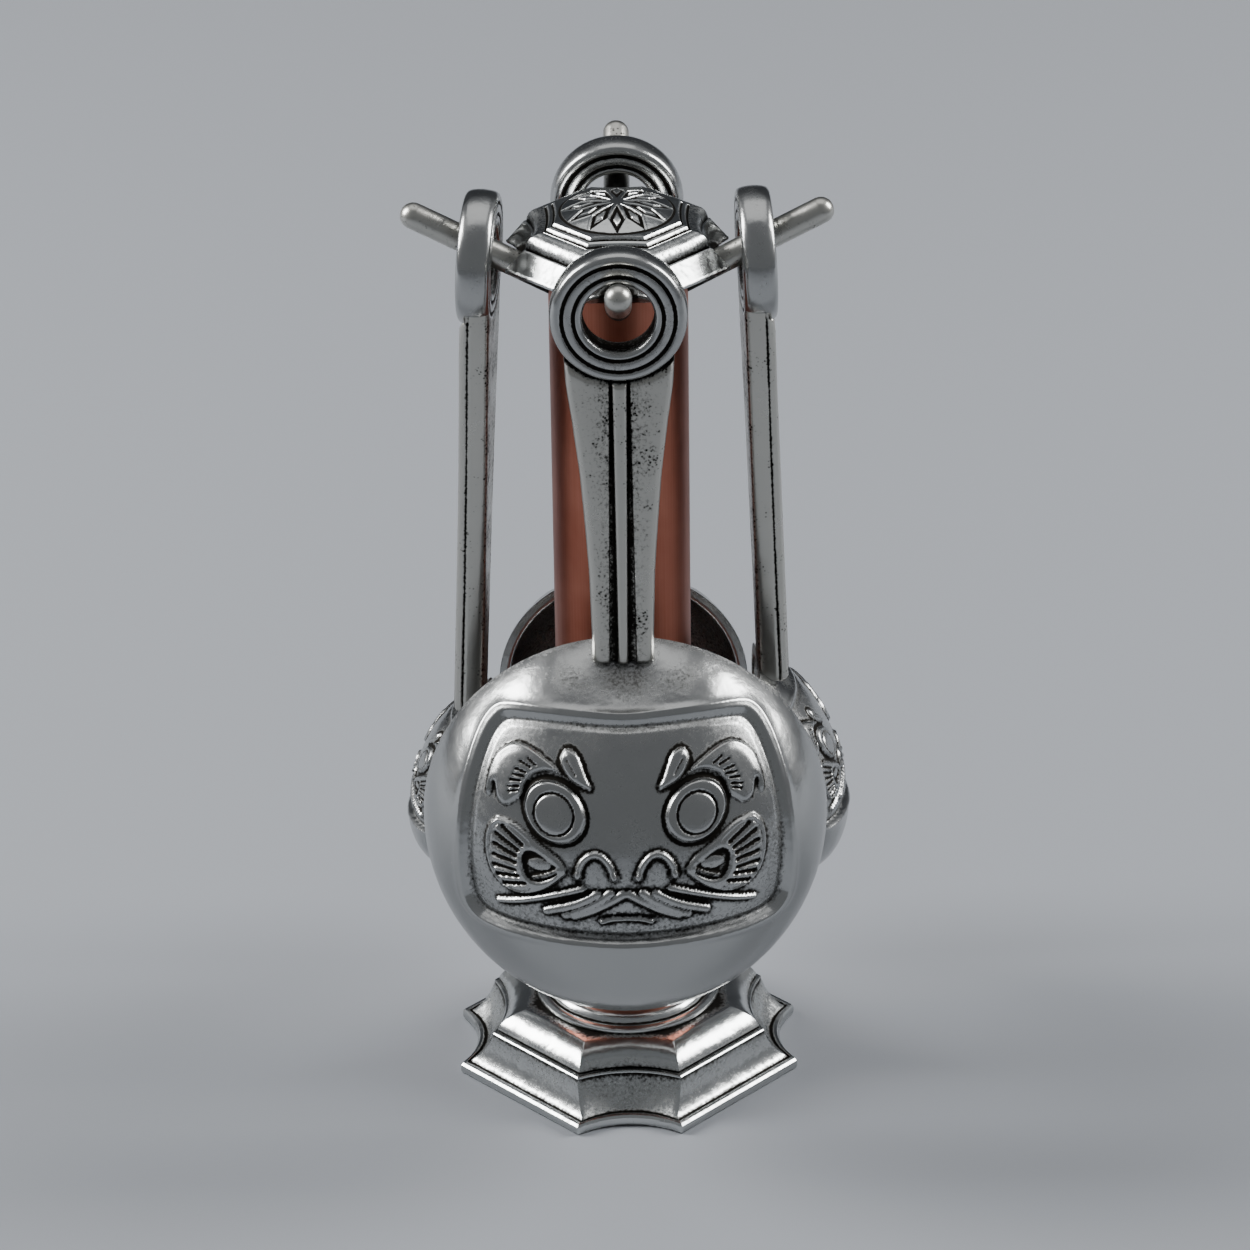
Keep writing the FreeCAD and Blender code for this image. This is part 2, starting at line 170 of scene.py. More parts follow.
# %% [markdown]
# ## Soft boxes
# Metal shows little colour of its own: it shows what stands around it. Two tall soft boxes at
# the sides, a little behind the stand, light the sloping shoulders of the bowls and the long
# flats of the base, and a broad weak one overhead fills the rest. Dark gaps stay between them,
# which is what lets worn metal look like metal.

# %% Lights
BOX_SIDE, BOX_BACK, BOX_UP = 0.73, 0.10, 0.52    # where the side boxes stand
BOX_WIDE, BOX_TALL = 0.34, 0.50


def soft_box(name, place, wide, tall, watts):
    """An area lamp at place that faces the middle of the stand."""
    fresh()
    bpy.ops.object.light_add(type="AREA", location=place)
    lamp = bpy.context.object
    lamp.name = name
    lamp.data.shape = "RECTANGLE"
    lamp.data.size = wide
    lamp.data.size_y = tall
    lamp.data.energy = watts
    away = Vector(middle) - Vector(place)
    lamp.rotation_euler = away.to_track_quat("-Z", "Y").to_euler()
    print(name, "stands", round(away.length, 2), "m away")


soft_box("left_box", (-BOX_SIDE, BOX_BACK, BOX_UP), BOX_WIDE, BOX_TALL, watts=13.5)
soft_box("right_box", (BOX_SIDE, BOX_BACK, BOX_UP), BOX_WIDE, BOX_TALL, watts=10.5)
soft_box("top_box", (0.0, 0.28, 1.1), 0.9, 0.9, watts=2.4)

# %% [markdown]
# ## Room
# The room is plain grey, and a hair lighter in front of the stand. That only shows in
# reflections: looked at directly, the room is one even, paler grey. A world shader gives this
# with no walls to build.

# %% Room
FRONT_STARTS, FRONT_FULL = -0.25, -0.95          # how far a direction points towards -Y
world = bpy.data.worlds.new("grey_room")
world.use_nodes = True
tree = world.node_tree
tree.nodes.clear()
way = add_node(tree, "ShaderNodeTexCoord").outputs["Generated"]
parts = add_node(tree, "ShaderNodeSeparateXYZ", {0: way})
in_front = add_node(tree, "ShaderNodeMapRange", {
    "Value": parts.outputs["Y"], "From Min": FRONT_STARTS, "From Max": FRONT_FULL},
    interpolation_type="SMOOTHSTEP").outputs[0]
walls = add_node(tree, "ShaderNodeMix", {
    "Factor": in_front, 6: colour("#909296"), 7: colour("#929598")}, data_type="RGBA")
seen = add_node(tree, "ShaderNodeLightPath").outputs["Is Camera Ray"]
room = add_node(tree, "ShaderNodeMix", {
    "Factor": seen, 6: walls.outputs[2], 7: colour("#9EA2A6")}, data_type="RGBA")
glow = add_node(tree, "ShaderNodeBackground", {"Color": room.outputs[2], "Strength": 0.75})
add_node(tree, "ShaderNodeOutputWorld", {"Surface": glow.outputs[0]})
bpy.context.scene.world = world

# %% [markdown]
# ## Antique pewter
# Pewter is a tin alloy. Cast parts are blackened all over with a chemical patina and then
# buffed, so high places come up pale and satin while hollows stay black and dull. The dark is
# carried by a point attribute called "patina", which each piece works out from its own shape,
# and a fine noise frays its edge as a buffing wheel does. On the crown's bead the same
# attribute also carries painted shade.

# %% Where pewter is black
GRAIN_SIZE = 0.35 * MM       # sand grain of the mould
CLOUD_SIZE = 4.0 * MM        # patches buffed more and less
PIT_GAP = 0.42 * MM          # casting pits that the wheel passes over


def blackness(tree, place, grain, cloud, cloudy, fray, pits):
    """Socket for how black each spot is: the patina, its edge frayed, with pits if wanted."""
    patina = add_node(tree, "ShaderNodeAttribute", attribute_name="patina",
                      attribute_type="GEOMETRY").outputs["Fac"]
    rough_edge = add_node(tree, "ShaderNodeMath", {0: grain, 1: -0.5}, operation="ADD")
    frayed = add_node(tree, "ShaderNodeMath", {
        0: rough_edge.outputs[0], 1: 2.6 * fray, 2: patina}, operation="MULTIPLY_ADD")
    stained = add_node(tree, "ShaderNodeMath", {
        0: cloudy, 1: fray, 2: frayed.outputs[0]}, operation="MULTIPLY_ADD")
    if pits:
        pit = add_node(tree, "ShaderNodeTexVoronoi", {
            "Vector": place, "Scale": 1 / PIT_GAP, "Randomness": 1.0}).outputs["Distance"]
        pit_dark = add_node(tree, "ShaderNodeMapRange", {
            "Value": pit, "From Min": 0.10, "From Max": 0.50, "To Min": pits, "To Max": 0.0})
        in_patches = add_node(tree, "ShaderNodeMapRange", {
            "Value": cloud, "From Min": 0.42, "From Max": 0.62})
        stained = add_node(tree, "ShaderNodeMath", {
            0: pit_dark.outputs[0], 1: in_patches.outputs[0], 2: stained.outputs[0]},
            operation="MULTIPLY_ADD")
    return add_node(tree, "ShaderNodeMapRange", {
        "Value": stained.outputs[0], "From Min": 0.22, "From Max": 0.78},
        interpolation_type="SMOOTHSTEP").outputs[0]


print("pits to a square cm:", round((10 * MM / PIT_GAP) ** 2))

# %% [markdown]
# ## Three pewter finishes
# All are the same metal, which keeps the default index of refraction. The spoons' bowls and
# rings are satin, the handles and pegs are pitted castings left duller, and the stand is
# buffed brightest. Hand buffing leaves flats a little wavy, and that breaks up what they
# mirror, so a slow low wave is added under the grain.

# %% Pewter
WAVE_SIZE = 2.2 * MM         # hand buffing leaves the flats this wavy
GRAIN_HEIGHT = 0.025 * MM
BLACK_PATINA, BLACK_ROUGHNESS = "#1E1C19", 0.62


def antique_pewter(name, pale, dull, fray, wave_height, pits=0.0):
    """Blackened and buffed tin alloy: pale is the buffed colour, dull its roughness."""
    material, tree, shader = new_material(name)
    shader.inputs["Metallic"].default_value = 1.0
    place = add_node(tree, "ShaderNodeTexCoord").outputs["Object"]
    grain = add_node(tree, "ShaderNodeTexNoise", {
        "Vector": place, "Scale": 1 / GRAIN_SIZE, "Detail": 3.0, "Roughness": 0.6}).outputs["Fac"]
    cloud = add_node(tree, "ShaderNodeTexNoise", {
        "Vector": place, "Scale": 1 / CLOUD_SIZE, "Detail": 4.0, "Roughness": 0.6}).outputs["Fac"]
    cloudy = add_node(tree, "ShaderNodeMath", {0: cloud, 1: -0.5}, operation="ADD").outputs[0]
    black = blackness(tree, place, grain, cloud, cloudy, fray, pits)
    tint = add_node(tree, "ShaderNodeMix", {
        "Factor": black, 6: colour(pale), 7: colour(BLACK_PATINA)}, data_type="RGBA")
    tree.links.new(tint.outputs[2], shader.inputs["Base Color"])
    gloss = add_node(tree, "ShaderNodeMapRange", {
        "Value": black, "To Min": dull, "To Max": BLACK_ROUGHNESS}).outputs[0]
    gloss = add_node(tree, "ShaderNodeMath", {
        0: cloudy, 1: 0.18, 2: gloss}, operation="MULTIPLY_ADD").outputs[0]
    tree.links.new(gloss, shader.inputs["Roughness"])
    wave = add_node(tree, "ShaderNodeTexNoise", {
        "Vector": place, "Scale": 1 / WAVE_SIZE, "Detail": 2.0, "Roughness": 0.5})
    waves = add_node(tree, "ShaderNodeBump", {
        "Height": wave.outputs["Fac"], "Strength": 0.5, "Distance": wave_height * MM})
    bump = add_node(tree, "ShaderNodeBump", {
        "Height": grain, "Strength": 0.3, "Distance": GRAIN_HEIGHT, "Normal": waves.outputs[0]})
    tree.links.new(bump.outputs[0], shader.inputs["Normal"])
    return material


spoon_pewter = antique_pewter("antique_cast_pewter", "#ACADAC", 0.23, 0.38, 0.12)
pitted_pewter = antique_pewter("pitted_cast_pewter", "#B8B7B1", 0.30, 0.44, 0.10, pits=0.5)
stand_pewter = antique_pewter("buffed_stand_pewter", "#C2C4C3", 0.21, 0.36, 0.22)
print("pewter finishes:", [m.name for m in (spoon_pewter, pitted_pewter, stand_pewter)])

# %% [markdown]
# ## Drawn copper pipe
# The post is water pipe. It was drawn through a die, which leaves lines along it too fine to
# count, and it has browned in the air and been rubbed to a satin. The lines are drawn here
# 0.12 mm wide, coarser than real, so that they show.

# %% Copper
LINE_WIDTH, LINE_LENGTH, STAIN_SIZE = 0.12 * MM, 14 * MM, 9 * MM
copper, tree, shader = new_material("drawn_copper_pipe")
shader.inputs["Metallic"].default_value = 1.0
place = add_node(tree, "ShaderNodeTexCoord").outputs["Object"]
along = add_node(tree, "ShaderNodeMapping", {
    "Vector": place, "Scale": (1 / LINE_WIDTH, 1 / LINE_WIDTH, 1 / LINE_LENGTH)})
lines = add_node(tree, "ShaderNodeTexNoise", {
    "Vector": along.outputs[0], "Scale": 1.0, "Detail": 2.0}).outputs["Fac"]
stain = add_node(tree, "ShaderNodeTexNoise", {
    "Vector": place, "Scale": 1 / STAIN_SIZE, "Detail": 3.0}).outputs["Fac"]
tone = add_node(tree, "ShaderNodeMath", {0: lines, 1: 0.35, 2: stain}, operation="MULTIPLY_ADD")
tone = add_node(tree, "ShaderNodeMapRange", {
    "Value": tone.outputs[0], "From Min": 0.4, "From Max": 0.95}).outputs[0]
tint = add_node(tree, "ShaderNodeMix", {
    "Factor": tone, 6: colour("#AF7260"), 7: colour("#925443")}, data_type="RGBA")
tree.links.new(tint.outputs[2], shader.inputs["Base Color"])
gloss = add_node(tree, "ShaderNodeMapRange", {"Value": lines, "To Min": 0.36, "To Max": 0.52})
tree.links.new(gloss.outputs[0], shader.inputs["Roughness"])
bump = add_node(tree, "ShaderNodeBump", {
    "Height": lines, "Strength": 0.2, "Distance": 0.01 * MM})
tree.links.new(bump.outputs[0], shader.inputs["Normal"])
print("copper's pattern has", len(tree.nodes), "nodes")

# %% [markdown]
# ## Points and patina
# These helpers read and write a mesh's points, write the patina, and leave a surface clean.
# A notched shape can fool the operator that turns faces outwards, so the volume is measured
# afterwards and the faces are flipped if it is negative.

# %% Mesh helpers
MERGE_DISTANCE = 1e-7


def put_points(piece, spots):
    piece.data.vertices.foreach_set("co", np.asarray(spots, dtype=np.float32).ravel())
    piece.data.update()


def points_of(piece):
    spots = np.empty(len(piece.data.vertices) * 3, dtype=np.float32)
    piece.data.vertices.foreach_get("co", spots)
    return spots.reshape(-1, 3).astype(float)


def darken(piece, values):
    """Write the patina attribute, 0 for buffed and 1 for black, one value for each point."""
    layer = piece.data.attributes.new("patina", "FLOAT", "POINT")
    layer.data.foreach_set("value", np.clip(values, 0, 1).astype(np.float32))


def inside_volume(mesh):
    """Volume in cubic mm, which is negative where the faces point inwards."""
    mesh.calc_loop_triangles()
    corners = np.empty(len(mesh.loop_triangles) * 3, dtype=np.int32)
    mesh.loop_triangles.foreach_get("vertices", corners)
    spots = np.empty(len(mesh.vertices) * 3)
    mesh.vertices.foreach_get("co", spots)
    a, b, c = np.moveaxis(spots.reshape(-1, 3)[corners.reshape(-1, 3)] / MM, 1, 0)
    return float(np.sum(a * np.cross(b, c)) / 6)


def tidy_surface(crease=35.0):
    """Merge doubles, point faces outwards and shade smooth, for the active piece."""
    bpy.ops.object.mode_set(mode="EDIT")
    bpy.ops.mesh.select_all(action="SELECT")
    bpy.ops.mesh.remove_doubles(threshold=MERGE_DISTANCE)
    bpy.ops.mesh.normals_make_consistent(inside=False)
    bpy.ops.object.mode_set(mode="OBJECT")
    if inside_volume(bpy.context.object.data) < 0:
        bpy.ops.object.mode_set(mode="EDIT")
        bpy.ops.mesh.flip_normals()
        bpy.ops.object.mode_set(mode="OBJECT")
    bpy.ops.object.shade_smooth_by_angle(angle=math.radians(crease))


def finish_piece(piece, material, body, slot, *nodes):
    """Give a piece its material, and tie it to its body and the nodes it stands for. slot is not
    used.
    """
    piece.data.materials.clear()
    piece.data.materials.append(material)
    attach(piece, body)
    if nodes:
        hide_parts(*nodes)
    print(piece.name, "faces:", len(piece.data.polygons),
          "volume, cubic mm:", round(inside_volume(piece.data)))


print("points nearer than", round(MERGE_DISTANCE / MM, 6), "mm will be merged")

# %% [markdown]
# ## A tube grown level by level
# Most pieces here are one outline that changes as it rises: a moulding, a handle, a turned
# ring. Each starts as a circle primitive, and is extruded once for every further level. An
# outline with hollow sides isn't a scaled copy of the one below, so no transform gives it,
# and each level's points are then put on their own outline.

# %% Tube helper
def grown(name, outlines, dark, looped=False, crease=35.0):
    """A tube through outlines[level][point], in metres. Its ends are capped, or it closes
    on itself where looped. dark holds a patina value for each point."""
    outlines = np.asarray(outlines, dtype=float)
    levels, around = outlines.shape[:2]
    fresh()
    bpy.ops.mesh.primitive_circle_add(vertices=around, radius=1.0,
                                      fill_type="NOTHING" if looped else "NGON")
    piece = bpy.context.object
    piece.name = piece.data.name = name
    bpy.ops.object.mode_set(mode="EDIT")
    for _ in range(levels - 1):
        bpy.ops.mesh.extrude_region_move(TRANSFORM_OT_translate={"value": (0, 0, 1.0)})
    bpy.ops.object.mode_set(mode="OBJECT")
    raw = points_of(piece)
    level = np.rint(raw[:, 2]).astype(int)
    angle = np.arctan2(raw[:, 1], raw[:, 0]) * around / (2 * math.pi)
    turn = np.rint(angle - angle[0]).astype(int) % around
    put_points(piece, outlines[level, turn])
    darken(piece, np.asarray(dark, dtype=float)[level, turn])
    tidy_surface(crease)
    return piece


print("a tube of 10 levels with 40 points each has", 9 * 40, "side faces")

# %% [markdown]
# ## Eight-sided outlines
# Base and crown are castings with eight sides: four long flats on the diagonals and four
# short hollow ones that face the spoons. They are stacked mouldings, so each is a list of
# levels, and a groove is one level set in and blackened. An arc gives the hollow sides, and
# averaging each point with its neighbours eases the corners.

# %% Eight-sided outline
FLAT_STEPS, HOLLOW_STEPS = 24, 16
LEAST_SCOOP = 0.02


def eight_sided(half, reach, scoop, height):
    """One level's outline: flats on the diagonals, hollows of depth scoop between, in mm."""
    scoop = max(scoop, LEAST_SCOOP)
    bend = (half ** 2 + scoop ** 2) / (2 * scoop)
    ease = 0.5 - 0.5 * np.cos(np.pi * np.arange(FLAT_STEPS) / FLAT_STEPS)
    quarter = []
    for n in range(HOLLOW_STEPS):
        x = -half + 2 * half * n / HOLLOW_STEPS
        y = -(reach - scoop) - bend + math.sqrt(bend ** 2 - x ** 2)
        quarter.append((x, y))
    for share in ease:
        quarter.append((half + (reach - half) * share, -reach + (reach - half) * share))
    quarter = np.array(quarter)
    outline = []
    for turn in range(4):
        c, s = math.cos(turn * math.pi / 2), math.sin(turn * math.pi / 2)
        outline.append(quarter @ np.array([[c, s], [-s, c]]))
    outline = np.concatenate(outline)
    eased = (np.roll(outline, 1, axis=0) + 2 * outline + np.roll(outline, -1, axis=0)) / 4
    return np.column_stack([eased, np.full(len(eased), height)]) * MM


def between(low, high, share):
    return low + (high - low) * share


def mix(low, high, share):
    """A level between two levels."""
    return tuple(between(one, two, share) for one, two in zip(low, high))


def set_in(level, depth):
    """The same outline, its sides moved in by depth."""
    half, reach, scoop = level
    return half - 0.414 * depth, reach - depth, scoop      # 0.414 is tan(22.5 degrees)


def moulding(stations, soot):
    """Outlines and patina of (level, height, patina) stations, with soot in the hollows."""
    outlines = [eight_sided(*level, height) for level, height, _ in stations]
    side = np.arange(len(outlines[0])) % (HOLLOW_STEPS + FLAT_STEPS)
    extra = np.where((side > 0) & (side < HOLLOW_STEPS), soot, 0.0)
    dark = [np.minimum(patina + extra, 1.0) for _, _, patina in stations]
    return outlines, dark


print("points to a level:", 4 * (HOLLOW_STEPS + FLAT_STEPS))

# %% [markdown]
# ## Base
# The foot has a thin rim, and a hollow curve sweeps up from it to a step. A black groove
# follows, then a full round roll that ends in a flat top under the collar. A mixture of a
# straight slope and a quarter circle gives the slack curves of a worn casting mould.

# %% Base
# A level is (half the width of a hollow side, reach of the flats, depth of the hollow), in mm.
FOOT, STEP = (6.15, 20.4, 2.05), (6.1, 16.35, 1.45)
ROLL_LEVEL, TOP = (5.9, 15.85, 1.3), (5.25, 12.4, 0.45)
SLACK = 0.45                 # 0 is a straight slope and 1 a full quarter round
CURVE_STEPS = 12
SWEEP_FOOT, SWEEP_RISE = 1.5, 3.8
ROLL_FOOT, ROLL_RISE = 6.0, 2.3
TOP_HEIGHT, BASE_SOOT = 8.3, 0.12

base_stations = [
    (set_in(FOOT, 0.45), 0.0, 0.8), (set_in(FOOT, 0.12), 0.12, 0.5), (FOOT, 0.4, 0.1),
    (FOOT, 0.8, 0.0), (set_in(FOOT, 0.06), 1.15, 0.0), (set_in(FOOT, 0.3), 1.42, 0.0),
    (set_in(FOOT, 0.65), 1.5, 0.1), (set_in(FOOT, 0.85), 1.42, 0.6),
    (set_in(FOOT, 0.95), 1.3, 0.9), (set_in(FOOT, 1.15), 1.3, 0.9),
    (set_in(FOOT, 1.25), 1.5, 0.5)]
for n in range(1, CURVE_STEPS):
    q, share = n / CURVE_STEPS * math.pi / 2, n / CURVE_STEPS
    inwards = between(share, math.sin(q), SLACK)
    upwards = between(share, 1 - math.cos(q), SLACK)
    sweep = mix(set_in(FOOT, 1.3), STEP, inwards)
    base_stations.append((sweep, SWEEP_FOOT + SWEEP_RISE * upwards, 0.24 + 0.3 * share ** 6))
base_stations += [
    (STEP, 5.3, 0.75), (set_in(STEP, -0.02), 5.42, 0.1), (set_in(STEP, -0.02), 5.5, 0.0),
    (set_in(STEP, 0.1), 5.62, 0.0), (set_in(STEP, 0.35), 5.66, 0.2),
    (set_in(ROLL_LEVEL, 0.3), 5.7, 1.0), (set_in(ROLL_LEVEL, 0.35), 5.9, 1.0)]
for n in range(CURVE_STEPS + 1):
    q, share = n / CURVE_STEPS * math.pi / 2, n / CURVE_STEPS
    inwards = between(share, 1 - math.cos(q), 1.4 * SLACK)
    upwards = between(share, math.sin(q), 1.4 * SLACK)
    roll = mix(set_in(ROLL_LEVEL, 0.05), TOP, inwards)
    base_stations.append((roll, ROLL_FOOT + ROLL_RISE * upwards, 0.5 * (1 - share) ** 5))
base_stations += [(set_in(TOP, inset), TOP_HEIGHT, patina)
                  for inset, patina in ((0.15, 0.2), (0.9, 0.55), (1.5, 0.9), (3.0, 0.9))]
base_outlines, base_dark = moulding(base_stations, BASE_SOOT)
base = grown("base_casting", base_outlines, base_dark, crease=28)
finish_piece(base, stand_pewter, "stand", "stand_pewter", "base")

# %% [markdown]
# ## Collar and post
# The collar at the foot of the post, the post and the pegs are all turned shapes: a profile
# carried round an axis. They use the same tube, with a circle at every level. The post is a
# length of water pipe, and only its outside shows.

# %% Turned shapes
def turned_piece(name, profile, steps=96, looped=False):
    """profile is a list of (radius, height, patina), in mm, turned about Z."""
    angles = np.arange(steps) * 2 * math.pi / steps
    outlines = [np.column_stack([r * np.cos(angles), r * np.sin(angles),
                                 np.full(steps, h)]) * MM for r, h, _ in profile]
    dark = [np.full(steps, patina) for _, _, patina in profile]
    return grown(name, outlines, dark, looped=looped)


collar = turned_piece("base_collar", [
    (8.0, 8.2, 1), (11.0, 8.2, 1), (11.1, 8.35, 0.8), (11.1, 8.6, 0.1), (11.0, 8.85, 0),
    (10.7, 9.0, 0), (10.2, 9.0, 0.1), (9.95, 8.9, 0.9), (9.75, 8.95, 0.9), (9.65, 9.2, 0.1),
    (9.4, 9.6, 0), (9.0, 9.85, 0), (8.5, 9.9, 0), (8.15, 9.75, 0.4), (8.0, 9.4, 1),
    (8.0, 8.2, 1)], looped=True)
finish_piece(collar, stand_pewter, "stand", "stand_pewter")

# %% Post
NECK_HEIGHT = 102.6          # the pipe shows right up to the shallow hollow under the crown
POST_LEVELS, POST_EASE = 12, 0.1
post_low_corner, post_high_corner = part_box("post_tube")
post_radius = (post_high_corner.x - post_low_corner.x) / 2 / MM
post_low, post_high = post_low_corner.z / MM, NECK_HEIGHT + 0.2
post = turned_piece("copper_post", [
    (post_radius - POST_EASE, post_low, 0), (post_radius, post_low + POST_EASE, 0)] + [
    (post_radius, post_low + (post_high - post_low) * n / POST_LEVELS, 0)
    for n in range(1, POST_LEVELS)] + [
    (post_radius, post_high - POST_EASE, 0), (post_radius - POST_EASE, post_high, 0)],
    steps=128)
finish_piece(post, copper, "stand", "copper", "post_tube")

# %% [markdown]
# ## Crown
# The crown is the base's moulding turned over: a neck flares to a lip, eight side facets stand
# on it, and a rounded bead runs in to a deck that rises in two steps. The hollow sides leave
# room for the pegs, and the metal round each peg's root is black, where no wheel can reach.

# %% Crown levels
NECK, LIP, FACET = (3.0, 7.6, 0.3), (4.1, 12.65, 1.7), (4.15, 10.6, 1.05)
BEAD, DECK = (3.95, 10.3, 0.9), (3.45, 8.3, 0.25)
FLARE_FOOT, LIP_HEIGHT, FLARE_STEPS = NECK_HEIGHT + 0.05, 105.0, 10
FACET_FOOT, FACET_RISE, FACET_STEPS = 105.55, 2.1, 5
# The bead's last number is painted shade: it darkens the whole bead, for a dimmer reflection of
# the side boxes there.
BEAD_FOOT, BEAD_RISE, BEAD_PAINTED_SHADE = 107.85, 1.7, 0.28
DECK_HEIGHT = 110.5          # the deck rises to the rosette in two eight-sided steps
DECK_STEPS = ((0.02, 109.58, 0.3), (0.12, 109.5, 1.0), (0.28, 109.55, 1.0), (0.36, 109.78, 0.4),
              (0.5, 109.98, 0.0), (0.8, 110.08, 0.0), (0.9, 110.0, 0.9), (1.02, 110.02, 0.9),
              (1.1, 110.25, 0.4), (1.25, 110.45, 0.0), (1.5, DECK_HEIGHT, 0.05),
              (3.0, DECK_HEIGHT, 0.3))           # inset, height, patina
CROWN_SOOT = 0.06

crown_stations = [(set_in(NECK, 0.3), NECK_HEIGHT, 0.8)]
for n in range(FLARE_STEPS + 1):
    height = FLARE_FOOT + (LIP_HEIGHT - NECK_HEIGHT) * n / FLARE_STEPS
    crown_stations.append((mix(NECK, LIP, n / FLARE_STEPS), height, 0.45))
crown_stations += [(set_in(LIP, -0.02), 105.15, 0.1), (set_in(LIP, -0.02), 105.35, 0.0),
                   (set_in(LIP, 0.15), 105.47, 0.0)]
for n in range(FACET_STEPS + 1):
    height = FACET_FOOT + FACET_RISE * n / FACET_STEPS
    crown_stations.append((mix(set_in(LIP, 0.2), FACET, n / FACET_STEPS), height, 0.0))
crown_stations += [(set_in(FACET, 0.2), 107.72, 0.4), (set_in(FACET, 0.4), 107.6, 1.0),
                   (set_in(BEAD, 0.45), 107.75, 1.0)]
# Up the bead, patina fades out from the groove at its foot, and a painted shade darkens all of
# it.
for n in range(CURVE_STEPS + 1):
    q, share = n / CURVE_STEPS * math.pi / 2, n / CURVE_STEPS
    crown_stations.append((mix(BEAD, DECK, 1 - math.cos(q)), BEAD_FOOT + BEAD_RISE * math.sin(q),
                           0.5 * (1 - share) ** 4 + BEAD_PAINTED_SHADE))
crown_stations += [(set_in(DECK, inset), height, patina) for inset, height, patina in DECK_STEPS]
print("levels in the crown:", len(crown_stations))

# %% Crown
PEG_RISE = math.radians(28)
PEG_ROOT, PEG_ROOT_HEIGHT = 7.2, 101.96          # where each peg's line starts, in mm
BLACK_FULL, BLACK_ENDS = 2.0, 3.0                # distance from a peg's line, in mm

crown_outlines, crown_dark = map(np.array, moulding(crown_stations, CROWN_SOOT))
for heading in range(4):
    out = np.array([math.sin(heading * math.pi / 2), -math.cos(heading * math.pi / 2), 0])
    along = out * math.cos(PEG_RISE) + np.array([0, 0, math.sin(PEG_RISE)])
    root = (out * PEG_ROOT + np.array([0, 0, PEG_ROOT_HEIGHT])) * MM
    away = np.linalg.norm(np.cross(crown_outlines - root, along), axis=2) / MM
    outwards = (crown_outlines - root) @ out > 0
    near = np.clip((BLACK_ENDS - away) / (BLACK_ENDS - BLACK_FULL), 0, 1)
    crown_dark = np.maximum(crown_dark, near * outwards)
crown = grown("crown_casting", crown_outlines, crown_dark, crease=28)
finish_piece(crown, stand_pewter, "stand", "stand_pewter", "crown")

# %% [markdown]
# ## The rosette on the crown
# A low dome with a smooth middle and twelve lozenge petals round it. Each petal is a raised
# core in a blackened hollow with a fine rim. It is a disc of close rings whose height follows
# the dome plus the petals, because cutting the petals by hand would only give the same points.

# %% Rosette
ROSE_RADIUS, ROSE_RISE, PETALS = 6.6, 1.3, 12
ROSE_STEPS, ROSE_RINGS = 360, 62
CORE_LIFT, LINE_DEPTH, RIM_LIFT = 0.06, 0.26, 0.05


def ramp(value, low, high):
    """Smooth step from 0 at low to 1 at high."""
    t = np.clip((value - low) / (high - low), 0, 1)
    return t * t * (3 - 2 * t)


rose_turns = np.arange(ROSE_STEPS) * 2 * math.pi / ROSE_STEPS
dome_radius = (ROSE_RADIUS ** 2 + ROSE_RISE ** 2) / (2 * ROSE_RISE)
rose_rings = np.concatenate([[ROSE_RADIUS, ROSE_RADIUS, 6.45],
                             np.linspace(6.35, 0.2, ROSE_RINGS)])
off_petal = (rose_turns * PETALS / (2 * math.pi) + 0.5) % 1 - 0.5
rose_outlines, rose_dark = [], []
for n, r in enumerate(rose_rings):
    dome = math.sqrt(dome_radius ** 2 - r ** 2) - dome_radius + ROSE_RISE
    across = np.abs(off_petal) * 2 * math.pi * r / PETALS
    taper = max(min((r - 0.9) / 3.1, (6.3 - r) / 2.3), -0.2)
    inside = 0.9 * taper - across                # how far inside a petal's hollow, in mm
    core = ramp(inside, 0.4, 0.56)
    line = ramp(inside, -0.04, 0.1) * (1 - core)
    rim = np.clip(1 - np.abs(inside + 0.12) / 0.18, 0, 1) * ramp(r, 1.2, 2.6)
    edge = float(np.clip((r - 6.2) / 0.2, 0, 1))
    lift = (CORE_LIFT * core - LINE_DEPTH * line + RIM_LIFT * rim) * (1 - edge)
    height = DECK_HEIGHT - 0.1 if n == 0 else DECK_HEIGHT + dome + lift
    rose_outlines.append(np.column_stack([
        r * np.cos(rose_turns), r * np.sin(rose_turns), np.zeros(ROSE_STEPS) + height]) * MM)
    rose_dark.append(np.maximum(line, edge) + 0.16 * (1 - core) * (1 - rim))
rosette = grown("crown_rosette", rose_outlines, rose_dark, crease=60)
finish_piece(rosette, stand_pewter, "stand", "stand_pewter")

# %% [markdown]
# ## Pegs
# Four plain rods with round tips, set in the crown and sloping up so that the spoons can't
# slide off. One pattern is turned, each side gets a copy of it with its own mesh, and the
# pattern is then removed.

# %% Pegs
PEG_RADIUS, PEG_LENGTH, PEG_LEVELS = 1.52, 17.75, 16
peg_profile = [(PEG_RADIUS, PEG_LENGTH * n / PEG_LEVELS, max(0.16, 0.95 - 0.13 * n))
               for n in range(PEG_LEVELS)]
peg_profile += [(PEG_RADIUS * math.cos(q), PEG_LENGTH + PEG_RADIUS * math.sin(q), 0.0)
                for q in np.linspace(0, math.pi / 2 * 0.97, 12)]
first_peg = turned_piece("peg_pattern", peg_profile, steps=48)
for heading, side in enumerate(("front", "right", "back", "left")):
    fresh()
    first_peg.select_set(True)
    bpy.context.view_layer.objects.active = first_peg
    bpy.ops.object.duplicate(linked=False)
    peg = bpy.context.object
    peg.name = peg.data.name = "hanging_peg_" + side
    turn = Matrix.Rotation(heading * math.pi / 2, 4, "Z")
    shift = Matrix.Translation((0, -PEG_ROOT * MM, PEG_ROOT_HEIGHT * MM))
    lay = Matrix.Rotation(math.pi / 2 - PEG_RISE, 4, "X")
    peg.data.transform(turn @ shift @ lay)
    finish_piece(peg, pitted_pewter, "stand", "peg_pewter", "peg_" + side)
bpy.data.objects.remove(first_peg)

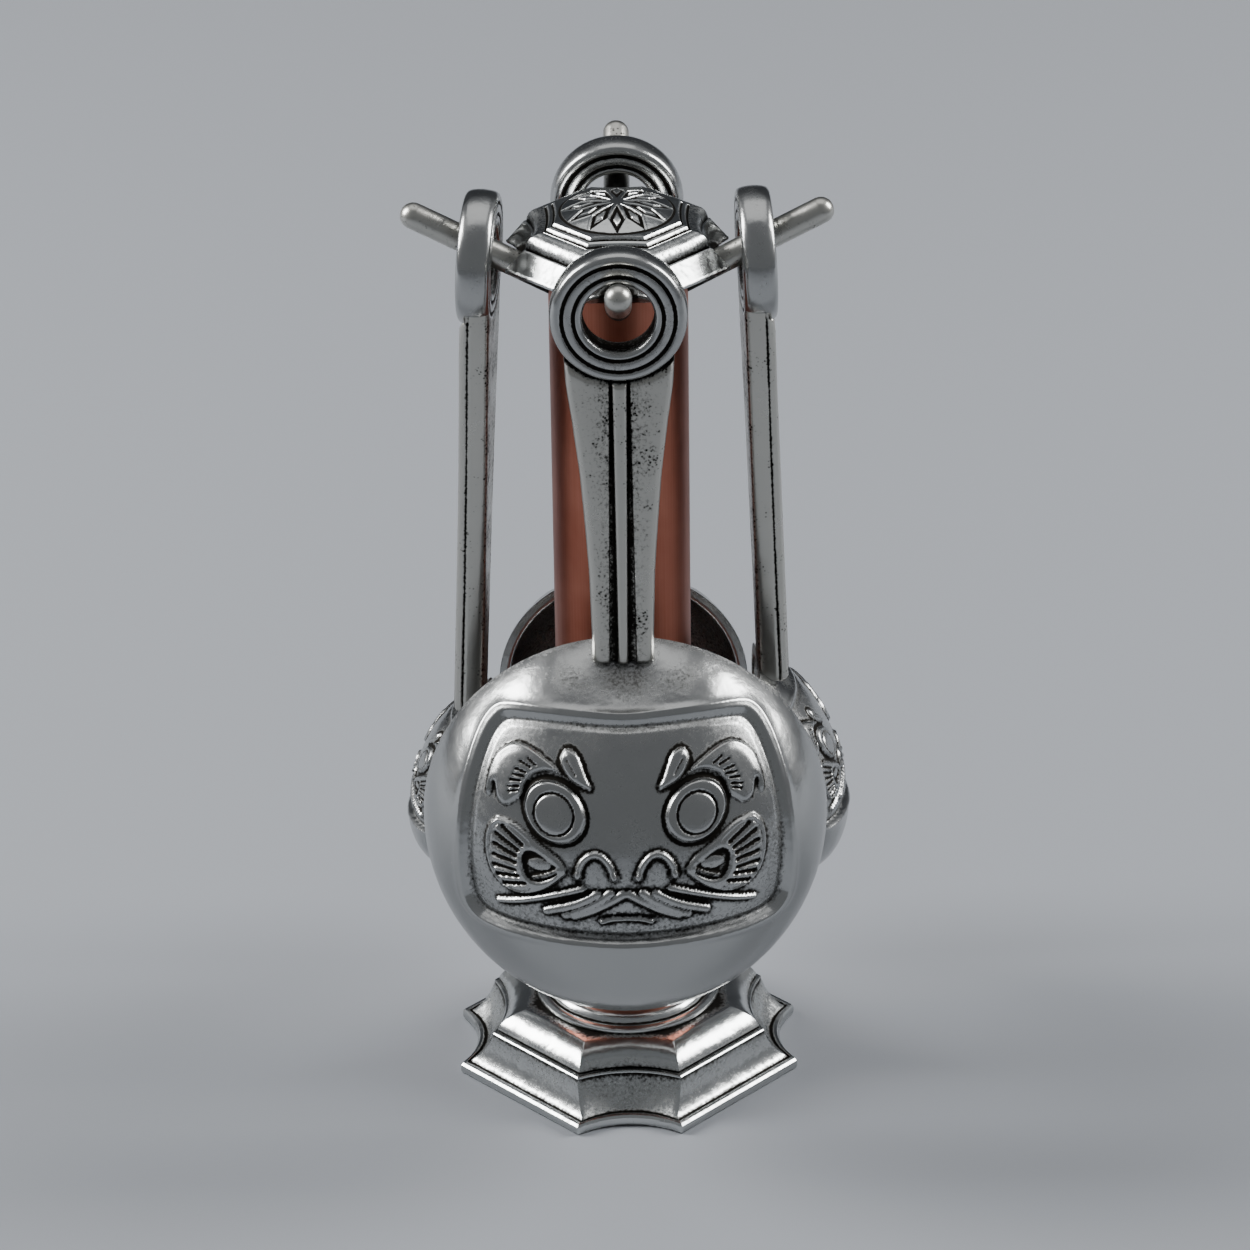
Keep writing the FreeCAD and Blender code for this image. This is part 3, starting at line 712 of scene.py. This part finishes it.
# %% [markdown]
# ## A spoon's own axes
# Every spoon is modelled standing upright about the middle of its ring: x across, y outwards
# and z up, in mm. One rule then leans it and hangs it on its side of the stand. A loose spoon
# never hangs quite square, so each leans a little and two are turned a little.

# %% Spoon frame
RING_REACH, RING_HEIGHT = 15.6, 105.1            # the middle of each ring
LEANS = {0: 2.0, 90: 2.2, 180: 2.0, 270: 2.6}    # degrees that each foot swings outwards
SWING = {90: 3.0, 270: -6.0}                     # degrees that a spoon turns on its peg
BACK_PLANE = -1.9            # the ring, the handle and the bowl's rim are flush at the back
# Each bowl has a half width, half height, depth, sag and wall. It hangs by drop below the
# ring's middle, and waist and grip are its handle's half widths half way down and at the end.
SPOONS = {
    "tablespoon": dict(heading=0, wide=23.3, tall=22.2, deep=17.0, sag=5.5, wall=1.5,
                       drop=62.8, waist=4.25, grip=3.5),
    "half_teaspoon": dict(heading=90, wide=13.5, tall=13.5, deep=10.2, sag=4.6, wall=1.6,
                          drop=65.1, waist=3.8, grip=3.2),
    "teaspoon": dict(heading=180, wide=15.0, tall=15.0, deep=14.0, sag=4.8, wall=1.35,
                     drop=63.3, waist=3.9, grip=3.3),
    "quarter_teaspoon": dict(heading=270, wide=11.3, tall=11.3, deep=8.9, sag=3.6, wall=1.95,
                             drop=66.7, waist=3.6, grip=3.0),
}
LARGEST = SPOONS["tablespoon"]


def hang(spots, heading):
    """Points in a spoon's own axes, in mm, to their place on the stand, in metres."""
    x, out, up = np.moveaxis(np.asarray(spots, dtype=float), -1, 0)
    q = math.radians(SWING.get(heading, 0))
    x, out = x * math.cos(q) + out * math.sin(q), out * math.cos(q) - x * math.sin(q)
    lean = math.radians(LEANS[heading])
    reach = RING_REACH + out * math.cos(lean) - up * math.sin(lean)
    height = RING_HEIGHT + up * math.cos(lean) + out * math.sin(lean)
    q = math.radians(heading)
    return np.stack([x * math.cos(q) + reach * math.sin(q),
                     x * math.sin(q) - reach * math.cos(q), height], axis=-1) * MM


for name, own in SPOONS.items():
    bowl_middle = hang((0, 0, -own["drop"]), own["heading"]) / MM
    print(name, "has its bowl's middle at", bowl_middle.round(1), "mm")

# %% [markdown]
# ## Hanging rings
# Each ring is a rounded band with turned grooves on its face, which hold the black. The
# grooves are on both faces, as a two-part mould gives them.

# %% Rings
RING_RADIUS, RING_HOLE, RING_STEPS = 7.7, 3.97, 120
face_profile = [             # (radius, outwards, patina) from the hole to the rim
    (4.0, 1.2, 0.7), (4.1, 1.6, 0.2), (4.35, 1.83, 0), (4.6, 1.88, 0), (4.75, 1.85, 0.3),
    (4.85, 1.66, 1), (5.15, 1.66, 1), (5.28, 1.85, 0.35), (5.45, 1.9, 0.2), (5.95, 1.9, 0.2),
    (6.05, 1.86, 0.35), (6.15, 1.66, 1), (6.45, 1.66, 1), (6.58, 1.85, 0.3), (6.75, 1.9, 0),
    (7.05, 1.87, 0), (7.3, 1.74, 0), (7.48, 1.5, 0.05), (7.6, 1.1, 0.1), (7.67, 0.6, 0.15)]
ring_profile = face_profile + [(RING_RADIUS, 0, 0.2)]
ring_profile += [(r, -o, patina) for r, o, patina in reversed(face_profile)]
ring_profile += [(RING_HOLE, 0, 0.8), face_profile[0]]
ring_turns = np.arange(RING_STEPS) * 2 * math.pi / RING_STEPS
ring_dark = [np.full(RING_STEPS, patina) for _, _, patina in ring_profile]
for name, own in SPOONS.items():
    ring_outlines = [hang(np.column_stack([r * np.sin(ring_turns), np.full(RING_STEPS, o),
                                           r * np.cos(ring_turns)]), own["heading"])
                     for r, o, _ in ring_profile]
    ring = grown(name + "_ring", ring_outlines, ring_dark, looped=True, crease=60)
    finish_piece(ring, spoon_pewter, name + "_spoon", "spoon_pewter")

# %% [markdown]
# ## A handle's section
# Down a handle's face runs a rib between two blackened grooves, with a flat at each side. Its
# sides carry one fine dark line, and its back is rounded and dark. Half of the section is
# written as points across the face, down the side and over the back, and is then mirrored.

# %% Handle section
FRONT = 1.8                  # the rib's crest, in front of the ring's middle plane, in mm
FLAT_START, SIDE_EASE = 0.12, (0.8, 0.5, 0.28, 0.14)


def handle_outline(half, rib, groove, sunk, soot):
    """Cross-section points (across, outwards, patina) of one handle level."""
    groove_end = rib + groove
    marks = [0, rib * 0.5, rib * 0.85, rib, rib + 0.15 * groove, rib + 0.5 * groove,
             groove_end - 0.1 * groove, groove_end, groove_end + FLAT_START,
             (groove_end + half) / 2] + [half - ease for ease in SIDE_EASE]
    outs = [0, -0.05, -0.16, -0.4, -0.7, -0.8, -0.68, -0.35, -0.28, -0.25, -0.3, -0.4, -0.6, -0.9]
    dark = [0, 0, 0.1, 0.5, 1.0, 0.8, 0.65, 0.6, 0.36, 0.24, 0.18, 0.0, 0.0, 0.0]
    face = [(m, FRONT + o - sunk, max(d, soot)) for m, o, d in zip(marks, outs, dark)]
    side = [(half - 0.05, 0.72, 0.1), (half - 0.15, 0.5, 1.0), (half - 0.02, 0.28, 0.1),
            (half, 0.0, 0.0), (half, -0.6, 0.0), (half - 0.02, -1.1, 0.0),
            (half - 0.06, -1.4, 0.1)]
    back = [(half - 0.2, -1.68, 0.3), (half - 0.45, -1.82, 0.45), (half - 1.0, -1.88, 0.35),
            (half * 0.3, BACK_PLANE, 0.3), (half * 0.15, BACK_PLANE, 0.3), (0, BACK_PLANE, 0.3)]
    right = face + side + back
    left = [(-x, o, d) for x, o, d in reversed(right[1:-1])]
    return np.array(right + left)


print("points to a section:", len(handle_outline(5.0, 0.8, 0.4, 0, 0)))

# %% [markdown]
# ## Handles
# A handle flares under the ring and narrows to the bowl, while its grooves widen. Its top
# follows the ring's curve, with a thin black gap between them, and gathers to a point inside
# the ring's metal so that nothing crosses the hole. Its foot sinks into the bowl, where the
# black is thick again.

# %% Handles
HANDLE_TOP, HANDLE_LEVELS = 6.0, 44              # mm below the ring's middle
TOP_LEVELS = ((7.0, 0.9, 1), (7.55, 0.85, 1), (7.7, 0.85, 1), (7.8, 0.7, 0.9),
              (7.95, 0.2, 0.3), (8.15, 0.03, 0), (8.5, 0, 0))    # (down, sunk, soot)
FOOT_LEVELS = ((0.2, 0.08, 0, 0.06), (0.03, 0.35, 0.2, 0.25),
               (0.0, 0.8, 0.7, 0.5))             # (above the end, sunk, soot, narrower)
FLARE_SHARES = (0, 0.10, 0.19, 0.36, 0.54, 0.70, 0.93, 1.0)
FLARE_HALVES = np.array([6.25, 6.0, 5.4, 4.6, 4.1, 3.72, 3.5, 3.5])
FOOT_IN_BOWL = 1.9


def handle_levels(end):
    """(down, sunk, soot, narrower) of every level, from under the ring to the bowl."""
    levels = [(down, sunk, soot, 0) for down, sunk, soot in TOP_LEVELS]
    levels += [(down, 0, 0, 0) for down in np.linspace(9.0, end - 0.5, HANDLE_LEVELS)]
    return levels + [(end - above, *rest) for above, *rest in FOOT_LEVELS]


def make_handle(name, own):
    end = own["drop"] - own["tall"] + FOOT_IN_BOWL
    scales = [1, own["waist"] / LARGEST["waist"], own["grip"] / LARGEST["grip"]]
    halves = FLARE_HALVES * np.interp(FLARE_SHARES, [0, 0.5, 1], scales)
    sections, dark = [], []
    for down, sunk, soot, narrower in handle_levels(end):
        share = (down - HANDLE_TOP) / (end - HANDLE_TOP)
        half = float(np.interp(share, FLARE_SHARES, halves)) - narrower
        groove = (0.3 + 0.7 * share) * own["grip"] / LARGEST["grip"]
        section = handle_outline(half, 0.84 - 0.3 * share, groove, sunk, soot)
        bow = max(0.0, 1 - (down - 7) / 14) ** 1.5           # how far a level follows the ring
        lift = bow * (down - np.sqrt(np.maximum(down ** 2 - section[:, 0] ** 2, 4.0)))
        sections.append(hang(np.column_stack([section[:, 0], section[:, 1], lift - down]),
                             own["heading"]))
        dark.append(section[:, 2])
    inside_ring = np.zeros((len(sections[0]), 3)) + (0, 0, -HANDLE_TOP)
    sections.insert(0, hang(inside_ring, own["heading"]))
    dark.insert(0, dark[0])
    handle = grown(name + "_handle", sections, dark, crease=55)
    finish_piece(handle, pitted_pewter, name + "_spoon", "spoon_pewter")


for name, own in SPOONS.items():
    make_handle(name, own)

# %% [markdown]
# ## The doll face
# Each bowl carries the same low relief: a sunk panel with brows, round eyes, a nose drawn as
# two hooks, fan-shaped cheeks, a moustache and a small mouth. It is written once, in mm on the
# largest bowl, as outlines and strokes for one half, and mirrored. The smaller bowls scale it.

# %% Face drawing
PANEL = [(0, 15.6), (6.4, 15.7), (13.0, 15.2), (14.6, 14.2), (16.1, 11.6), (17.6, 7.0),
         (18.5, 0.4), (18.3, -5.0), (17.6, -6.6), (16.2, -7.5), (9.3, -7.9), (0, -8.2)]
BROW = [(6.0, 9.9), (7.5, 11.2), (8.9, 12.1), (10.4, 12.9), (11.7, 13.2), (12.7, 13.1),
        (13.8, 12.5), (14.8, 11.6), (15.5, 10.2), (15.9, 8.9), (16.1, 7.7), (15.9, 7.1),
        (15.5, 7.4), (15.2, 8.6), (15.0, 8.7), (14.9, 8.0), (14.8, 7.3), (14.3, 6.7),
        (13.6, 6.6), (12.8, 7.2), (12.0, 7.9), (11.7, 8.6), (11.4, 9.6), (10.6, 10.4),
        (9.3, 10.9), (8.2, 10.9), (7.3, 10.6), (6.6, 10.2)]
BROW_HAIRS = [[(11.0, 11.8), (10.1, 11.3)], [(11.8, 11.4), (10.7, 11.0)],
              [(12.4, 10.6), (11.3, 10.4)], [(12.7, 10.0), (11.5, 10.0)],
              [(13.0, 9.4), (11.9, 9.5)], [(13.2, 8.7), (12.1, 8.9)], [(13.2, 8.2), (12.2, 8.5)]]
LEAF = [(6.9, 13.2), (6.2, 13.4), (5.3, 12.8), (4.8, 11.7), (4.4, 10.6), (3.7, 9.3), (5.0, 9.6),
        (6.1, 10.1), (6.9, 10.9), (7.4, 11.9), (7.3, 12.7)]
LEAF_VEIN = [(6.55, 12.1), (5.66, 10.8)]
CHEEK = [(14.8, 5.2), (15.7, 4.3), (16.2, 2.8), (16.3, 1.0), (15.9, -1.0), (15.1, -2.3),
         (14.0, -3.1), (12.6, -3.5), (10.9, -3.1), (9.3, -2.3), (7.8, -1.0), (6.7, 0.1),
         (7.6, 1.6), (9.0, 2.5), (10.5, 3.4), (11.6, 4.3), (12.8, 5.0), (13.9, 5.2)]
CHEEK_DROP = [(12.2, 1.4), (11.7, 2.2), (10.9, 2.4), (10.0, 2.1), (8.7, 1.3), (7.6, 0.4),
              (7.8, -0.3), (8.9, -1.2), (10.2, -1.7), (11.3, -1.5), (12.0, -0.5)]
CHEEK_SLOTS = [[(14.1, 4.3), (11.9, 2.7)], [(14.9, 3.4), (12.4, 2.0)], [(15.1, 2.2), (12.7, 1.3)],
               [(15.2, 0.9), (12.8, 0.5)], [(15.2, -0.3), (12.8, -0.5)],
               [(14.9, -1.4), (12.5, -1.1)], [(14.3, -2.4), (11.8, -1.9)]]
CHEEK_PAD_LINE = [(10.6, -0.95), (9.2, -0.5), (7.9, 0.25)]
NOSE_HOOK = [(5.6, -0.2), (5.4, 0.9), (4.7, 2.0), (3.6, 2.5), (2.6, 2.1), (1.8, 1.0), (1.4, -0.3)]
WHISKER = [(14.9, -4.9), (13.1, -4.5), (11.3, -3.9), (8.4, -2.9), (5.1, -1.8)]
STRANDS = [[(0.4, -2.4), (2.0, -3.4), (3.9, -4.5), (6.1, -5.4)],
           [(1.9, -2.3), (3.0, -3.2), (4.8, -4.3), (7.1, -5.4)],
           [(3.4, -2.4), (4.4, -3.1), (6.1, -4.0), (9.3, -5.1)]]
MOUTH, MOUTH_CORNER = [(2.9, -5.95), (1.6, -5.6), (0, -5.5)], (2.8, -5.9)
EYE_CENTRE, EYE_WIDE, EYE_TALL, EYE_SHEAR = (8.1, 6.7), 3.53, 3.4, 0.12
IRIS_CENTRE, IRIS_RADIUS = (8.15, 6.5), 2.25
print("strokes in half a face:", len(BROW_HAIRS + CHEEK_SLOTS + STRANDS) + 5)

# %% [markdown]
# ## Distances to a drawing
# A relief needs to know how far each point is from each stroke, and whether it is inside each
# outline. Corners are cut twice first, so that the lines bend smoothly.

# %% Distances
def line_distance(x, z, line):
    """Distance from each point to an open line of corners."""
    best = np.full(x.shape, 1e3)
    for (ax, az), (bx, bz) in zip(line[:-1], line[1:]):
        dx, dz = bx - ax, bz - az
        t = np.clip(((x - ax) * dx + (z - az) * dz) / (dx * dx + dz * dz), 0, 1)
        best = np.minimum(best, np.hypot(x - ax - t * dx, z - az - t * dz))
    return best


def rounded(line, passes=2):
    """Corners cut twice, for a line that bends smoothly."""
    line = np.asarray(line, dtype=float)
    for _ in range(passes):
        a, b = line[:-1], line[1:]
        cut = np.stack([0.75 * a + 0.25 * b, 0.25 * a + 0.75 * b], axis=1).reshape(-1, 2)
        line = np.vstack([line[:1], cut, line[-1:]])
    return [tuple(p) for p in line]


def depth_inside(x, z, outline):
    """Distance to a closed outline: positive inside it and negative outside."""
    closed = list(outline) + [outline[0]]
    inside = np.zeros(x.shape, dtype=bool)
    for (ax, az), (bx, bz) in zip(closed[:-1], closed[1:]):
        crosses = (az > z) != (bz > z)
        with np.errstate(divide="ignore", invalid="ignore"):
            at = ax + (z - az) * (bx - ax) / (bz - az if bz != az else 1e-9)
        inside ^= crosses & (x < at)
    away = line_distance(x, z, closed)
    return np.where(inside, away, -away)


def depth_in_shape(x, z, corners):
    """depth_inside for a drawn shape whose corners are cut once."""
    return depth_inside(x, z, rounded(corners + corners[:1], 1)[:-1])


def ridge(away, half):
    """Half-round section of a raised stroke."""
    return np.sqrt(np.clip(1 - (away / half) ** 2, 0, 1))


def band(away, half):
    """1 on a line, falling evenly to 0 at half a width from it."""
    return np.clip(1 - np.abs(away) / half, 0, 1)


print("corners of the panel once rounded:", len(rounded(PANEL)))

# %% [markdown]
# ## Relief of the face
# Each part of the face adds to the height of the bowl's points, or takes from it, and says
# where black must lie. The parts come in order, because a later one lies over an earlier one:
# the panel, the brow with its leaf, the eye, the brow's hairs, the cheek, and last the nose
# and moustache.

# %% Panel and brow
def panel_relief(x, z):
    """Height over the hood, black, and nearness to the panel's edge, for the sunk panel."""
    edge = rounded(PANEL)
    panel = depth_inside(x, z, edge + [(-px, pz) for px, pz in reversed(edge[1:-1])]) + 0.55
    ground = 0.55 + 0.5 * ramp(-z, -4.5, 8.0)
    height = -ground * ramp(panel, -0.15, 0.55)
    height -= 0.2 * band(panel - 0.6, 0.6)
    height += 0.16 * band(panel + 0.5, 0.7) ** 2
    borders = np.clip(1 - (panel - 0.6) / 3.0, 0, 1) * (panel > 0.3)
    black = 0.16 * ramp(panel, 0.2, 0.8) + 0.2 * borders
    black += 0.08 * ramp(-z, -4.5, -1.0) * (panel > 0.5)
    height += 0.2 * ramp(1 - np.hypot(x / 9.0, (z - 11.5) / 5.5), 0.0, 1.0)
    return height, black, np.clip(1.5 - np.abs(panel - 0.6) / 0.6, 0, 1)


def add_brow(x, z, height, black):
    """The brow and the leaf beside it. Returns the depth inside the brow."""
    brow = depth_in_shape(x, z, BROW)
    height += 0.5 * ramp(brow, -0.12, 0.35) + 0.14 * ramp(brow, 0.2, 1.2)
    leaf = depth_in_shape(x, z, LEAF)
    height += 0.4 * ramp(leaf, -0.1, 0.3) + 0.2 * ramp(leaf, 0.2, 1.0)
    shade = np.clip(1.3 - np.abs(leaf + 0.3) / 0.35, 0, 1) * (leaf < 0)
    np.maximum(black, 0.6 * shade, out=black)
    vein = line_distance(x, z, LEAF_VEIN)
    height -= 0.2 * ridge(vein, 0.24)
    np.maximum(black, 0.45 * np.clip(1.2 - vein / 0.16, 0, 1), out=black)
    return brow


panel_middle = panel_relief(np.zeros(1), np.full(1, 5.0))[0]
print("the panel's middle lies", round(float(panel_middle[0]), 2), "mm from the hood")

# %% Eye
def add_eye(x, z, brow, height, black):
    """The eye, with a groove round its iris and a dark socket, and then the brow's hairs."""
    up = z - EYE_CENTRE[1]
    across = x - EYE_CENTRE[0] - EYE_SHEAR * up
    eye = np.hypot(across / EYE_WIDE, up / EYE_TALL) * EYE_WIDE
    iris = np.hypot(x - IRIS_CENTRE[0], z - IRIS_CENTRE[1])
    height += 0.6 * ramp(EYE_WIDE - eye, -0.1, 0.5)
    groove = band(iris - IRIS_RADIUS, 0.26)
    height -= 0.26 * groove
    np.maximum(black, 0.85 * groove, out=black)
    height += 0.1 * ramp(IRIS_RADIUS - iris, 0.1, 1.2)
    socket = band(eye - EYE_WIDE - 0.3, 0.4)
    height -= 0.12 * socket * (brow < 0)
    np.maximum(black, 0.6 * socket * (brow < 0.1), out=black)
    for hair in BROW_HAIRS:
        cut = line_distance(x, z, hair)
        height -= 0.22 * ridge(cut, 0.16)
        np.maximum(black, 0.9 * np.clip(1.4 - cut / 0.14, 0, 1), out=black)


print("an eye is", 2 * EYE_WIDE, "mm wide, with", len(BROW_HAIRS), "hairs in the brow over it")

# %% Cheek
def add_cheek(x, z, height, black):
    """The fan-shaped cheek, with its slots and a drop-shaped hollow that holds a pad."""
    cheek = depth_in_shape(x, z, CHEEK)
    height += 0.46 * ramp(cheek, -0.12, 0.3)
    height -= 0.16 * band(cheek - 0.6, 0.25) * (x > 11)
    for slot in CHEEK_SLOTS:
        cut = line_distance(x, z, slot)
        height -= 0.34 * ridge(cut, 0.3)
        np.maximum(black, 0.95 * np.clip(1.5 - cut / 0.2, 0, 1), out=black)
    drop = depth_in_shape(x, z, CHEEK_DROP)
    height -= 0.36 * ramp(drop, -0.1, 0.35)
    pad = np.hypot((x - 9.9) / 1.5, (z - 0.75) / 0.75)
    height += 0.22 * np.sqrt(np.clip(1 - pad ** 2, 0, 1))
    height += 0.3 * ridge(line_distance(x, z, CHEEK_PAD_LINE), 0.3)
    np.maximum(black, 0.55 * ramp(drop, 0.0, 0.3) * (pad > 0.9), out=black)


print("a cheek has", len(CHEEK_SLOTS), "slots")

# %% Nose, moustache and mouth
def add_strokes(x, z, height):
    """The raised strokes: nose hooks with balled ends, whiskers, strands and the mouth."""
    for line, half, lift in ((NOSE_HOOK, 0.42, 0.58), (WHISKER, 0.4, 0.55)):
        height += lift * ridge(line_distance(x, z, rounded(line)), half)
    for end in (NOSE_HOOK[0], NOSE_HOOK[-1]):
        height += 0.2 * ridge(np.hypot(x - end[0], z - end[1]), 0.62)
    hairs = np.zeros_like(height)
    for line in STRANDS:
        hairs = np.maximum(hairs, 0.56 * ridge(line_distance(x, z, rounded(line)), 0.56))
    height += hairs
    height += 0.5 * ridge(line_distance(x, z, MOUTH), 0.34)
    height += 0.15 * ridge(np.hypot(x - MOUTH_CORNER[0], z - MOUTH_CORNER[1]), 0.5)


def face_relief(x, z):
    """Height over the hood, extra black and nearness to the panel's edge, at points in mm."""
    x = np.abs(x)
    height, black, border = panel_relief(x, z)
    brow = add_brow(x, z, height, black)
    add_eye(x, z, brow, height, black)
    add_cheek(x, z, height, black)
    add_strokes(x, z, height)
    return height, black, border


eye_height, _, _ = face_relief(np.array([EYE_CENTRE[0]]), np.array([EYE_CENTRE[1]]))
print("an eye stands", round(float(eye_height[0]), 2), "mm over the hood")

# %% [markdown]
# ## A bowl's grid
# A bowl starts as a grid primitive whose lines crowd together over the face. Its edge is
# extruded into a lip and then, ring by ring, into the hollow, and closed at the bottom. The
# operators leave each ring at its own height, so a point's height tells its ring.

# %% Bowl grid
LIP_SHARES = (0.22, 0.5, 0.78)                   # where the lip's rings stand in the wall
LIP_RINGS, HOLLOW_RINGS = len(LIP_SHARES), 18
RINGS = LIP_RINGS + HOLLOW_RINGS
EDGE = 0.999                                     # past this a grid point is on the edge


def crowded(low, high, inside, outside):
    """Grid lines from -1 to 1, with inside of them between low and high."""
    left = np.linspace(-1, low, outside + 1)[:-1]
    right = np.linspace(high, 1, outside + 1)[1:]
    return np.concatenate([left, np.linspace(low, high, inside), right])


def bowl_grid(name, across, up):
    """The grid with its rings, and the ring, column and row of each of its points."""
    fresh()
    bpy.ops.mesh.primitive_grid_add(x_subdivisions=across - 1, y_subdivisions=up - 1, size=2)
    bowl = bpy.context.object
    bowl.name = bowl.data.name = name + "_bowl"
    bpy.ops.object.mode_set(mode="EDIT")
    bpy.ops.mesh.select_mode(type="EDGE")
    bpy.ops.mesh.select_all(action="DESELECT")
    bpy.ops.mesh.select_non_manifold()
    for _ in range(RINGS):
        bpy.ops.mesh.extrude_region_move(TRANSFORM_OT_translate={"value": (0, 0, 1.0)})
    bpy.ops.mesh.merge(type="CENTER")
    bpy.ops.object.mode_set(mode="OBJECT")
    raw = points_of(bowl)
    on_edge = np.maximum(np.abs(raw[:, 0]), np.abs(raw[:, 1])) > EDGE
    ring = np.rint(raw[:, 2]).astype(int)
    ring[(ring > 0) & ~on_edge] = RINGS
    column = np.clip(np.rint((raw[:, 0] + 1) / 2 * (across - 1)).astype(int), 0, across - 1)
    row = np.clip(np.rint((raw[:, 1] + 1) / 2 * (up - 1)).astype(int), 0, up - 1)
    return bowl, ring, column, row


print("rings in a lip and hollow:", RINGS)

# %% [markdown]
# ## A bowl's surfaces
# Outside, a bowl is half an egg that sags below its middle, with the face and a shallow dent
# on it. Inside, it is a smooth smaller egg. Relief this fine has no operator, so the points
# are set by the rule of the measured bowl plus the face's height. Black gathers where a point
# lies lower than the average of its surroundings, and round the handle's foot.

# %% Bowl surfaces
RELIEF_POWER = 0.75          # a smaller bowl's relief is shallower, but less than in scale
SOOT_PASSES, SOOT_DEPTH = 14, 0.15
DENT_DEPTH, RIM_PATINA, INSIDE_PATINA = 1.25, 0.4, 0.42
FIRST_DIP = 0.985            # the hollow starts a hair inside the lip


def soften(height, passes):
    """Average each grid point with its neighbours, passes times."""
    for _ in range(passes):
        wide = np.pad(height, 1, mode="edge")
        height = (wide[:-2, 1:-1] + wide[2:, 1:-1] + wide[1:-1, :-2] + wide[1:-1, 2:]
                  + 2 * height) / 6
    return height


def outer_side(own, reach, turn):
    """Points of the plain egg outside, and the direction straight out of it at each."""
    wide, tall, deep, sag = (own[word] for word in ("wide", "tall", "deep", "sag"))
    slope = reach * math.pi / 2
    x = wide * np.sin(slope) * np.cos(turn)
    out = deep * np.cos(slope)
    z = tall * np.sin(slope) * np.sin(turn) - sag * np.cos(slope)
    fall = (z + sag * out / deep) / tall ** 2
    normal = np.stack([x / wide ** 2, out / deep ** 2 + fall * sag / deep, fall], axis=1)
    normal /= np.linalg.norm(normal, axis=1)[:, None]
    return x, out, z, normal


def foot_patina(own, x, out, z):
    """Black round the foot of the handle, and in a patch at each side of it."""
    grip, tall = own["grip"], own["tall"]
    root = np.hypot(x / grip, (z - tall * 0.93) / (grip * 0.8))
    beside = np.hypot((np.abs(x) - 1.75 * grip) / grip, (z - tall * 0.86) / (tall * 0.07))
    black = np.maximum(0.5 * np.clip(1.6 - root, 0, 1), 0.42 * np.clip(1.3 - beside, 0, 1))
    return black * (out > 0)


def inner_ring(own, step, turn):
    """Points of one ring, counted from the outer edge: the lip's rings, then the hollow's."""
    wide, tall, deep, sag, wall = (own[word] for word in ("wide", "tall", "deep", "sag", "wall"))
    c, s = np.cos(turn), np.sin(turn)
    if step <= LIP_RINGS:
        inset = wall * LIP_SHARES[step - 1]
        return np.stack([(wide - inset) * c, np.full(c.shape, BACK_PLANE),
                         (tall - inset) * s], axis=1)
    dip = (1 - (step - LIP_RINGS - 1) / (HOLLOW_RINGS - 1)) * math.pi / 2
    if step == LIP_RINGS + 1:
        dip = math.pi / 2 * FIRST_DIP
    inner_sag = sag * (deep - wall) / deep
    return np.stack([(wide - wall) * math.sin(dip) * c,
                     np.full(c.shape, BACK_PLANE + (deep - wall) * math.cos(dip)),
                     (tall - wall) * math.sin(dip) * s - inner_sag * math.cos(dip)], axis=1)


print("relief of the smallest bowl, against the largest:",
      round((SPOONS["quarter_teaspoon"]["wide"] / LARGEST["wide"]) ** RELIEF_POWER, 2))

# %% [markdown]
# ## Bowls
# The grid's square is pressed into a disc, the disc is laid on the egg, and the face is added
# along the surface's own direction. The face gets most of the grid's lines, so that its
# finest strokes are still several points wide.

# %% Bowls
FACE_LINES = {"tablespoon": 264, "half_teaspoon": 160, "teaspoon": 180, "quarter_teaspoon": 140}
FACE_ACROSS, FACE_UP = (-0.70, 0.70), (-0.20, 0.76)      # the face's part of the grid
LINES_BESIDE, LINES_ABOVE = 14, 18


def make_bowl(name, own, face_lines):
    columns = crowded(*FACE_ACROSS, face_lines, LINES_BESIDE)
    rows = crowded(*FACE_UP, int(face_lines * 0.68), LINES_ABOVE)
    bowl, ring, i, j = bowl_grid(name, len(columns), len(rows))
    s, t = columns[i], rows[j]
    disc_x, disc_z = s * np.sqrt(1 - t * t / 2), t * np.sqrt(1 - s * s / 2)
    reach = np.minimum(np.hypot(disc_x, disc_z), 1.0)
    turn = np.arctan2(disc_z, disc_x)
    x, out, z, normal = outer_side(own, reach, turn)

    outer = ring == 0
    scale = own["wide"] / LARGEST["wide"]
    height, black, border = face_relief(x / scale, z * LARGEST["tall"] / own["tall"])
    height *= scale ** RELIEF_POWER
    dent = np.exp(-(x / (own["grip"] * 1.7)) ** 2
                  - ((z - own["tall"] * 0.9) / (own["tall"] * 0.17)) ** 2)
    height -= DENT_DEPTH * scale ** 0.5 * dent * (1 - reach ** 6)
    spots = np.stack([x, BACK_PLANE + out, z], axis=1) + normal * (height * outer)[:, None]

    grid = np.zeros((len(columns), len(rows)))
    grid[i[outer], j[outer]] = height[outer]
    hollow = (soften(grid, SOOT_PASSES) - grid) / (SOOT_DEPTH * scale ** RELIEF_POWER)
    soot = np.clip(hollow[i, j], 0, 1) * (0.7 - 0.5 * border)
    patina = np.clip(soot + black, 0, 1)
    patina = np.maximum(patina, foot_patina(own, x, out, z))
    patina = np.maximum(patina, RIM_PATINA * ramp(reach, 0.94, 1.0)) * outer

    for step in range(1, RINGS + 1):
        here = ring == step
        spots[here] = inner_ring(own, step, turn[here])
        patina[here] = 0.0 if step <= LIP_RINGS else INSIDE_PATINA
    spots[:, 2] -= own["drop"]
    put_points(bowl, hang(spots, own["heading"]))
    darken(bowl, patina)
    tidy_surface(crease=60)
    return bowl


for name, own in SPOONS.items():
    lines = FACE_LINES[name]
    bowl = make_bowl(name, own, lines)
    finish_piece(bowl, spoon_pewter, name + "_spoon", "spoon_pewter", name)
